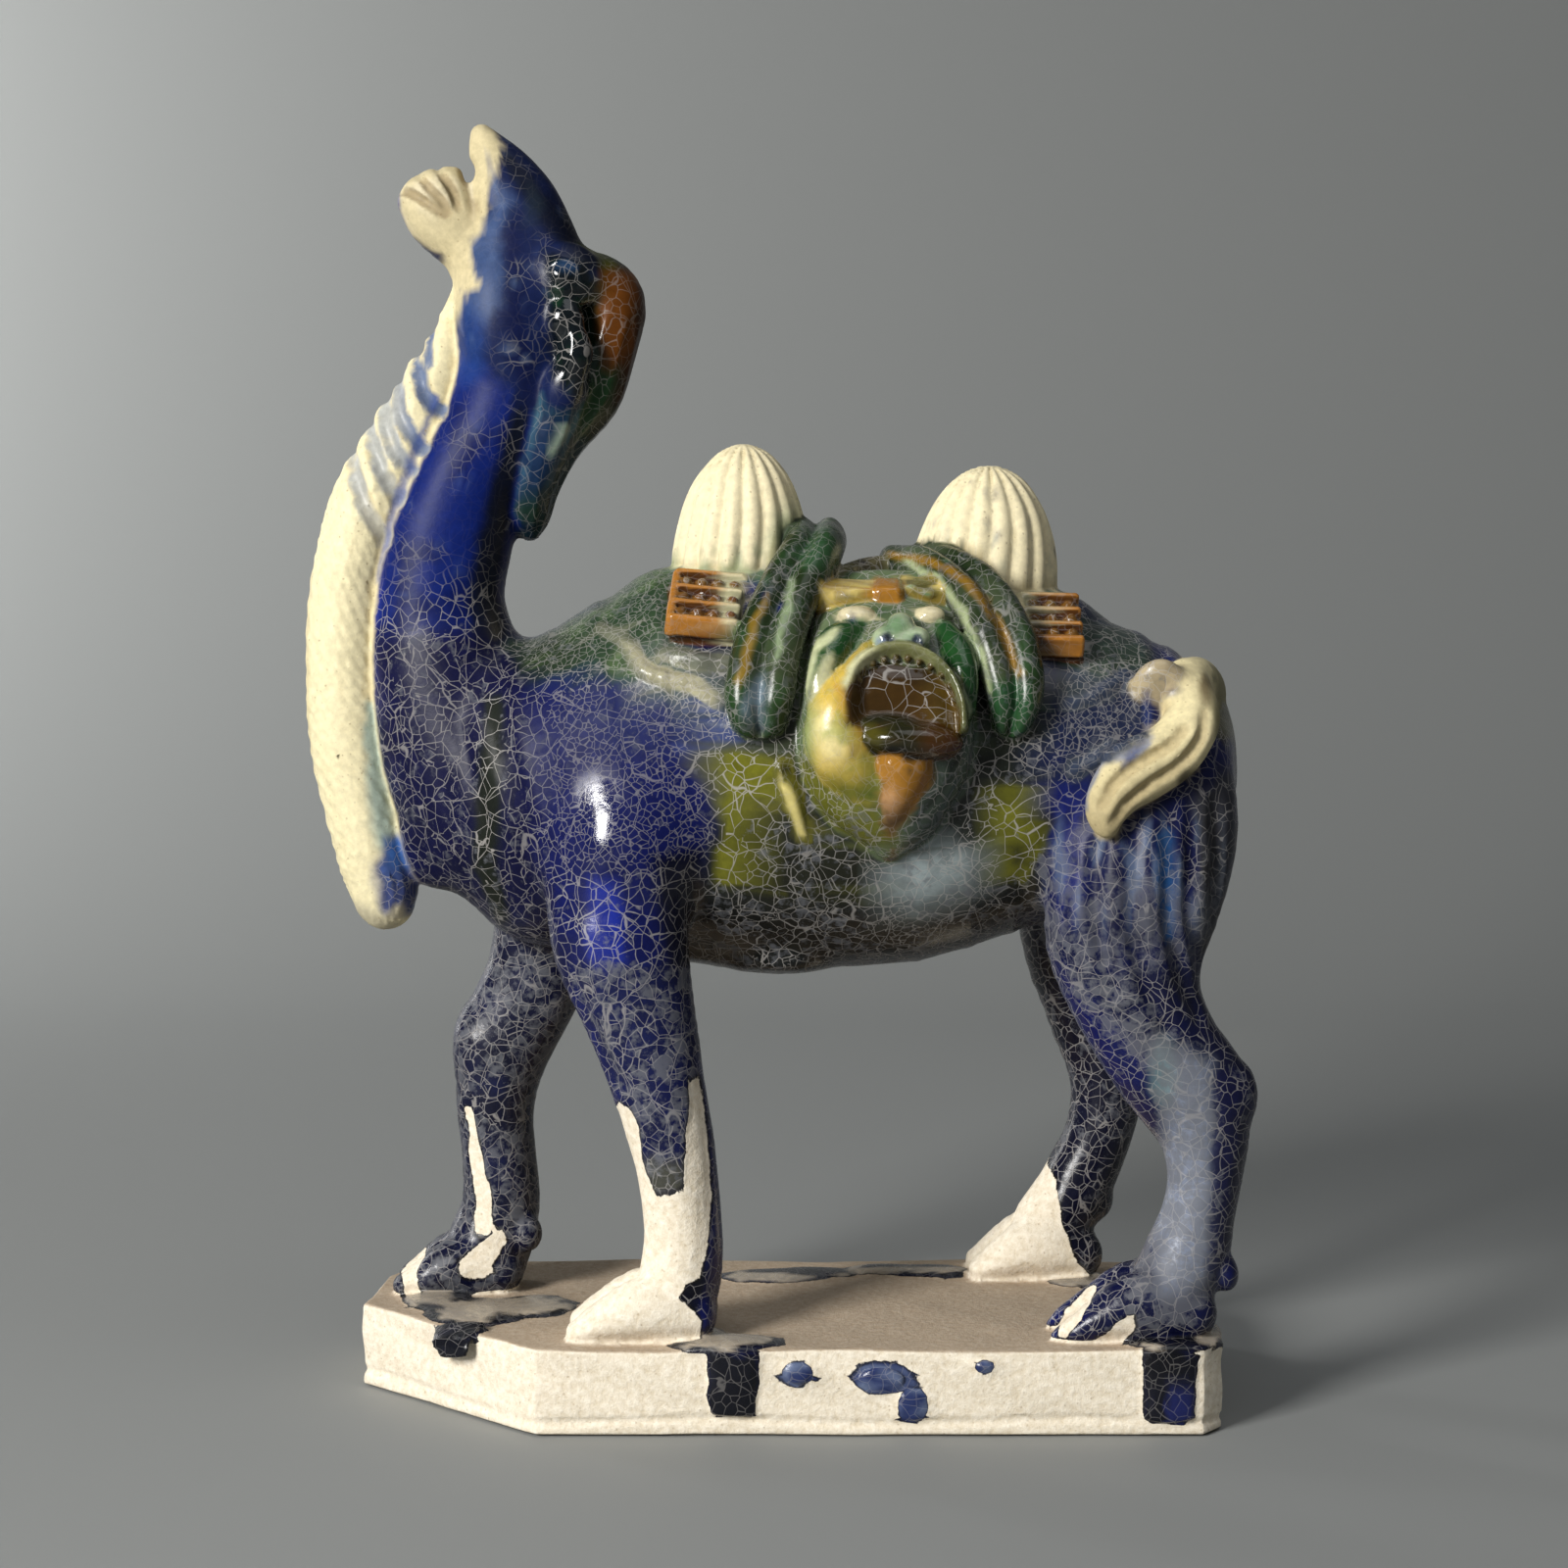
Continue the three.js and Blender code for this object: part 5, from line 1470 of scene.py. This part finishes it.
lay("#6f7c98", spots * soft(small_spots + 0.5, 0.0, 0.9), 0.7)
to(pool, haze=0.5)
to(pool * (pz < 2.6), crackle=0.25)
runs = np.maximum(slab_drip, spots)
to(runs, haze=0.1, crackle=0.3)
# Dust on the slab's upward faces, and the bare clay made darker in shut-in nooks.
dust_and_nook_dark = slab_clay * soft(facing[:, 2], 0.5, 0.9)
dust_and_nook_dark = np.maximum(dust_and_nook_dark, 0.3 * soft(nook, 0.45, 0.8) * bare)

# The glaze rolls to a bead at its lower edge, and the bare clay lies a little lower.
GLAZE_THICK = 0.35
CLAY_UNEVEN = 0.16
sunk = GLAZE_THICK * soft(bare, 0.2, 0.8)
uneven = CLAY_UNEVEN * (mottle(place, 7.0, 91) + 0.4 * mottle(place, 3.4, 92) + 0.4 * small_spots * bare)
place = place + facing * (uneven - sunk)[:, None]
place[:, 2] = np.maximum(place[:, 2], SLAB_FOOT)
place = (place + FROM_SLAB_CENTRE) / MM_PER_METRE
skin_mesh.vertices.foreach_set("co", place.astype(np.float32).ravel())
colours = skin_mesh.attributes.new("glaze", "FLOAT_COLOR", "POINT")
colours.data.foreach_set("color", np.column_stack([glaze, np.ones(count)]).astype(np.float32).ravel())
MEASURES = {
    "bare": bare, "haze": haze, "crackle": crackle, "cell": cell, "dust_and_nook_dark": dust_and_nook_dark, "pale": pale, "satin": satin,
}
for name, values in MEASURES.items():
    skin_mesh.attributes.new(name, "FLOAT", "POINT").data.foreach_set("value", values.astype(np.float32))
skin_mesh.polygons.foreach_set("use_smooth", np.ones(len(skin_mesh.polygons), bool))
skin_mesh.update()

# Fired lead glaze over bisque: wet gloss with a net of pale crackle, cells that have gone matte and
# milky among clear ones, and dry, grainy, cream clay where no glaze lies.
# Sizes are in millimetres. A distance from a long crack is taken times LONG_CRACK, which draws
# those cracks wider, and BEND is how far a crack may wander.
CELL_SIZES = (1.5, 2.7, 4.4)
FAMILY_SIZE = 8.5
LONG_CRACK = 0.8
BEND = 2.4
CRACK_HALF = 0.03
CRACK_FEATHER = 0.08
CRACK_COLOUR = (*linear("#aaa6a2"), 1)
HAZE_COLOUR = (*linear("#67696f"), 1)
RIM_COLOUR = (*linear("#15130f"), 1)
IRON_SPECK = (*linear("#857252"), 1)
CLAY_DARK = (*linear("#d6c8ae"), 1)
CLAY_LIGHT = (*linear("#f3ead8"), 1)
CLAY_SPECK = (*linear("#a48f70"), 1)
DUST_AND_NOOK_COLOUR = (*linear("#a5917a"), 1)
BARE_CLAY_ROUGHNESS = 0.88
LEAD_GLAZE_IOR = 1.5
BUMP_METRES = 0.00025
sancai = bpy.data.materials.new("fired_sancai_glaze")
sancai.use_nodes = True
tree = sancai.node_tree
tree.nodes.clear()


def node(kind, links=(), out=0, **settings):
    """Adds a node with its settings. links give its inputs, by name or number, a socket or a value."""
    made = tree.nodes.new(kind)
    for setting, value in settings.items():
        setattr(made, setting, value)
    for name, value in dict(links).items():
        if isinstance(value, bpy.types.NodeSocket):
            tree.links.new(value, made.inputs[name])
        else:
            made.inputs[name].default_value = value
    return made.outputs[out]


MAP, MATH, MIX, NOISE = "ShaderNodeMapRange", "ShaderNodeMath", "ShaderNodeMix", "ShaderNodeTexNoise"
VORONOI, VECTOR, MEASURE = "ShaderNodeTexVoronoi", "ShaderNodeVectorMath", "ShaderNodeAttribute"
bare_there = node(MEASURE, out="Fac", attribute_name="bare")
haze_there = node(MEASURE, out="Fac", attribute_name="haze")
crackle_there = node(MEASURE, out="Fac", attribute_name="crackle")
cell_there = node(MEASURE, out="Fac", attribute_name="cell")
dust_and_nook_there = node(MEASURE, out="Fac", attribute_name="dust_and_nook_dark")
pale_there = node(MEASURE, out="Fac", attribute_name="pale")
satin_there = node(MEASURE, out="Fac", attribute_name="satin")
glaze_there = node(MEASURE, out="Color", attribute_name="glaze")

# Places in millimetres, and the same bent a little so that no crack runs quite straight
in_metres = node("ShaderNodeTexCoord", out="Object")
skin_place = node(VECTOR, {0: in_metres, 3: float(MM_PER_METRE)}, operation="SCALE")
wander = node(NOISE, {"Vector": skin_place, "Scale": 0.16, "Detail": 1.0}, out="Color")
bent = node(VECTOR, {0: wander, 1: (BEND, BEND, BEND), 2: skin_place}, operation="MULTIPLY_ADD")
clouds = node(NOISE, {"Vector": skin_place, "Scale": 0.11, "Detail": 2.0, "Roughness": 0.6})
smears = node(NOISE, {"Vector": skin_place, "Scale": 0.6, "Detail": 4.0, "Roughness": 0.65})
grain = node(NOISE, {"Vector": skin_place, "Scale": 2.6, "Detail": 2.0, "Roughness": 0.7})

# The crackle: families of cells between long cracks, the cells small, middling or large by place
cell_choice = node(MATH, {0: cell_there, 1: -0.45}, operation="ADD")
cell_kind = node(MATH, {0: clouds, 1: 0.9, 2: cell_choice}, operation="MULTIPLY_ADD")
is_middle = node(MATH, {0: cell_kind, 1: 0.27}, operation="GREATER_THAN")
is_large = node(MATH, {0: cell_kind, 1: 0.72}, operation="GREATER_THAN")
per_small, per_middle, per_large = (1 / size for size in CELL_SIZES)
scale = node(MATH, {0: is_middle, 1: per_middle - per_small, 2: per_small}, operation="MULTIPLY_ADD")
scale = node(MATH, {0: is_large, 1: per_large - per_middle, 2: scale}, operation="MULTIPLY_ADD")
edge = node(VORONOI, {"Vector": bent, "Scale": scale}, out="Distance", feature="DISTANCE_TO_EDGE")
edge = node(MATH, {0: edge, 1: scale}, operation="DIVIDE")
cell_dice = node(VORONOI, {"Vector": bent, "Scale": scale}, out="Color", feature="F1")
cells = node("ShaderNodeSeparateColor", {0: cell_dice})
cells_b = cells.node.outputs[2]
per_family = 1 / FAMILY_SIZE
family = node(VORONOI, {"Vector": bent, "Scale": per_family}, out="Distance", feature="DISTANCE_TO_EDGE")
family = node(MATH, {0: family, 1: FAMILY_SIZE * LONG_CRACK}, operation="MULTIPLY")
nearest = node(MATH, {0: edge, 1: family}, operation="MINIMUM")
line_width = node(MAP, {
    "Value": smears, "From Min": 0.3, "From Max": 0.7, "To Min": 0.0, "To Max": 1.6 * CRACK_HALF,
})
from_line = node(MATH, {0: nearest, 1: line_width}, operation="SUBTRACT")
lines = node(MAP, {
    "Value": from_line, "From Min": 0.0, "From Max": CRACK_FEATHER, "To Min": 1.0, "To Max": 0.0,
}, interpolation_type="SMOOTHSTEP")

# The glaze's ragged lower edge, dark along its rim where it is thick
to_edge = node(MATH, {0: smears, 1: 0.5, 2: bare_there}, operation="MULTIPLY_ADD")
glazed = node(MAP, {"Value": to_edge, "From Min": 0.71, "From Max": 0.77, "To Min": 1.0, "To Max": 0.0})
rim = node(MAP, {"Value": to_edge, "From Min": 0.42, "From Max": 0.66}, interpolation_type="SMOOTHSTEP")
crackled = node(MATH, {0: crackle_there, 1: glazed}, operation="MULTIPLY")
lines = node(MATH, {0: lines, 1: crackled}, operation="MULTIPLY")

# Matte grey haze, in whole cells and in clouds
haze_level = node(MATH, {0: cells, 1: 0.32, 2: haze_there}, operation="MULTIPLY_ADD")
haze_level = node(MATH, {0: smears, 1: 1.6, 2: haze_level}, operation="MULTIPLY_ADD")
haze_level = node(MATH, {0: clouds, 1: 0.7, 2: haze_level}, operation="MULTIPLY_ADD")
hazy = node(MAP, {"Value": haze_level, "From Min": 1.66, "From Max": 2.04}, interpolation_type="SMOOTHSTEP")
hazy = node(MATH, {0: hazy, 1: crackled}, operation="MULTIPLY")

# Colour: glaze, darker or lighter cell by cell, then haze, then the lines, then the bare clay
cell_swing = node(MATH, {0: cells_b, 1: 0.5}, operation="SUBTRACT")
cell_swing = node(MATH, {0: cell_swing, 1: crackle_there}, operation="MULTIPLY")
tone = node(MATH, {0: cell_swing, 1: 0.4, 2: 1.0}, operation="MULTIPLY_ADD")
streaks = node(MAP, {"Value": smears, "From Min": 0.3, "From Max": 0.7, "To Min": 1.12, "To Max": 0.86})
tone = node(MATH, {0: tone, 1: streaks}, operation="MULTIPLY")
colour = node(VECTOR, {0: glaze_there, 3: tone}, operation="SCALE")
specks = node(VORONOI, {"Vector": bent, "Scale": 0.5}, out="Distance", feature="F1")
specks = node(MAP, {"Value": specks, "From Min": 0.05, "From Max": 0.16, "To Min": 0.55, "To Max": 0.0})
pale_specks = node(MATH, {0: specks, 1: pale_there}, operation="MULTIPLY")
colour = node(MIX, {0: pale_specks, 6: colour, 7: IRON_SPECK}, out=2, data_type="RGBA")
haze_cover = node(MATH, {0: hazy, 1: 0.8}, operation="MULTIPLY")
colour = node(MIX, {0: haze_cover, 6: colour, 7: HAZE_COLOUR}, out=2, data_type="RGBA")
line_cover = node(MATH, {0: hazy, 1: -0.42, 2: 0.70}, operation="MULTIPLY_ADD")
line_cover = node(MATH, {0: lines, 1: line_cover}, operation="MULTIPLY")
colour = node(MIX, {0: line_cover, 6: colour, 7: CRACK_COLOUR}, out=2, data_type="RGBA")
rim_cover = node(MATH, {0: rim, 1: 0.75}, operation="MULTIPLY")
colour = node(MIX, {0: rim_cover, 6: colour, 7: RIM_COLOUR}, out=2, data_type="RGBA")
clay_tone = node(MATH, {0: grain, 1: 0.35, 2: smears}, operation="MULTIPLY_ADD")
clay_tone = node(MAP, {"Value": clay_tone, "From Min": 0.45, "From Max": 0.85})
clay_colour = node(MIX, {0: clay_tone, 6: CLAY_DARK, 7: CLAY_LIGHT}, out=2, data_type="RGBA")
clay_colour = node(MIX, {0: specks, 6: clay_colour, 7: CLAY_SPECK}, out=2, data_type="RGBA")
dust_and_nook_level = node(MATH, {0: grain, 1: 0.7, 2: smears}, operation="MULTIPLY_ADD")
dust_and_nook_level = node(MAP, {"Value": dust_and_nook_level, "From Min": 0.6, "From Max": 1.0, "To Min": 1.0, "To Max": 0.8})
dust_and_nook_cover = node(MATH, {0: dust_and_nook_there, 1: dust_and_nook_level}, operation="MULTIPLY")
clay_colour = node(MIX, {0: dust_and_nook_cover, 6: clay_colour, 7: DUST_AND_NOOK_COLOUR}, out=2, data_type="RGBA")
colour = node(MIX, {0: glazed, 6: clay_colour, 7: colour}, out=2, data_type="RGBA")

# Gloss, and the unevenness of glaze and clay
rough = node(MATH, {0: satin_there, 1: 0.40, 2: 0.06}, operation="MULTIPLY_ADD")
rough = node(MATH, {0: hazy, 1: 0.42, 2: rough}, operation="MULTIPLY_ADD")
rough = node(MATH, {0: pale_there, 1: 0.36, 2: rough}, operation="MULTIPLY_ADD")
rough = node(MATH, {0: lines, 1: 0.25, 2: rough}, operation="MULTIPLY_ADD")
rough = node(MIX, {0: glazed, 2: BARE_CLAY_ROUGHNESS, 3: rough}, data_type="FLOAT")
rugged = node(MATH, {0: glazed, 1: -1.0, 2: 1.12}, operation="MULTIPLY_ADD")
unevenness = node(MATH, {0: rugged, 1: 1.6, 2: 0.2}, operation="MULTIPLY_ADD")
unevenness = node(MATH, {0: smears, 1: unevenness}, operation="MULTIPLY")
graininess = node(MATH, {0: rugged, 1: 0.5}, operation="MULTIPLY")
height = node(MATH, {0: grain, 1: graininess, 2: unevenness}, operation="MULTIPLY_ADD")
specular = node(MATH, {0: satin_there, 1: -0.46, 2: 0.54}, operation="MULTIPLY_ADD")
bump = node("ShaderNodeBump", {"Strength": 0.6, "Distance": BUMP_METRES, "Height": height})
finish = node("ShaderNodeBsdfPrincipled", {
    "Base Color": colour, "Roughness": rough, "Normal": bump, "IOR": LEAD_GLAZE_IOR,
    "Specular IOR Level": specular,
})
tree.links.new(finish, tree.nodes.new("ShaderNodeOutputMaterial").inputs["Surface"])
skin.data.materials.clear()
skin.data.materials.append(sancai)
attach(skin, "root")
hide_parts("camel_figure")


# Table and backdrop
# The figure stands on a pale grey sheet that curves up behind it, as on a photographer's table.
FLOOR_HALF, CURVE_START, CURVE_RADIUS, BACK_HEIGHT = 3.0, 0.55, 0.5, 2.6
profile = [(-2.5, 0.0), (CURVE_START, 0.0)]
profile += [(CURVE_START + CURVE_RADIUS * math.sin(t), CURVE_RADIUS * (1 - math.cos(t)))
            for t in np.linspace(0, math.pi / 2, 24)[1:]]
profile += [(CURVE_START + CURVE_RADIUS, BACK_HEIGHT)]
sheet_mesh = bpy.data.meshes.new("paper_sheet")
sheet_mesh.from_pydata(
    [(x, y, z) for y, z in profile for x in (-FLOOR_HALF, FLOOR_HALF)], [],
    [(2 * i, 2 * i + 1, 2 * i + 3, 2 * i + 2) for i in range(len(profile) - 1)],
)
sheet_mesh.polygons.foreach_set("use_smooth", np.ones(len(sheet_mesh.polygons), bool))
sheet = bpy.data.objects.new("paper_sheet", sheet_mesh)
bpy.context.scene.collection.objects.link(sheet)

# Matte grey paper, which is even and mirrors nothing, and takes the camel's soft shadow
paper = bpy.data.materials.new("matte_grey_paper")
paper.use_nodes = True
paper_shader = paper.node_tree.nodes["Principled BSDF"]
paper_shader.inputs["Base Color"].default_value = (*linear("#878988"), 1)
paper_shader.inputs["Roughness"].default_value = 0.75
sheet.data.materials.append(paper)


# Light
# One tall window on the left, in front of the figure, another that lights the backdrop from the
# left, and soft light from the room.
def window(name, place, towards, size, power, colour):
    """A window's light: a lit rectangle that faces a place."""
    light = bpy.data.lights.new(name, "AREA")
    light.shape = "RECTANGLE"
    light.size, light.size_y = size
    light.energy = power
    light.color = colour
    lamp = bpy.data.objects.new(name, light)
    lamp.location = place
    lamp.rotation_euler = (Vector(towards) - Vector(place)).to_track_quat("-Z", "Y").to_euler()
    bpy.context.scene.collection.objects.link(lamp)


window("window_left", (-0.80, -0.93, 0.60), (0.0, 0.0, 0.14), (0.34, 0.48), 22.5, (1.0, 0.985, 0.955))
window("room_above", (0.3, -0.5, 1.5), (0.0, 0.0, 0.12), (1.0, 1.0), 4.2, (0.95, 0.97, 1.0))
window("window_on_backdrop", (-0.9, 0.7, 0.45), (-0.38, 1.05, 0.36), (0.3, 0.7), 7.4, (1.0, 1.0, 0.99))
world = bpy.data.worlds.new("soft_room")
bpy.context.scene.world = world
world.use_nodes = True
world.node_tree.nodes["Background"].inputs["Color"].default_value = (0.80, 0.82, 0.85, 1.0)
world.node_tree.nodes["Background"].inputs["Strength"].default_value = 0.14
bpy.context.scene.view_settings.view_transform = "Standard"


# Camera
# The photograph looks straight at the near side, a little down, from about two thirds of a metre.
camera_data = bpy.data.cameras.new("photo_camera")
camera_data.lens = 67.5
camera_data.sensor_width = 36.0
camera = bpy.data.objects.new("photo_camera", camera_data)
camera.location = (0.0005, -0.649, 0.178)
camera.rotation_euler = (math.radians(90 - 3.81), 0.0, 0.0)
bpy.context.scene.collection.objects.link(camera)
bpy.context.scene.camera = camera
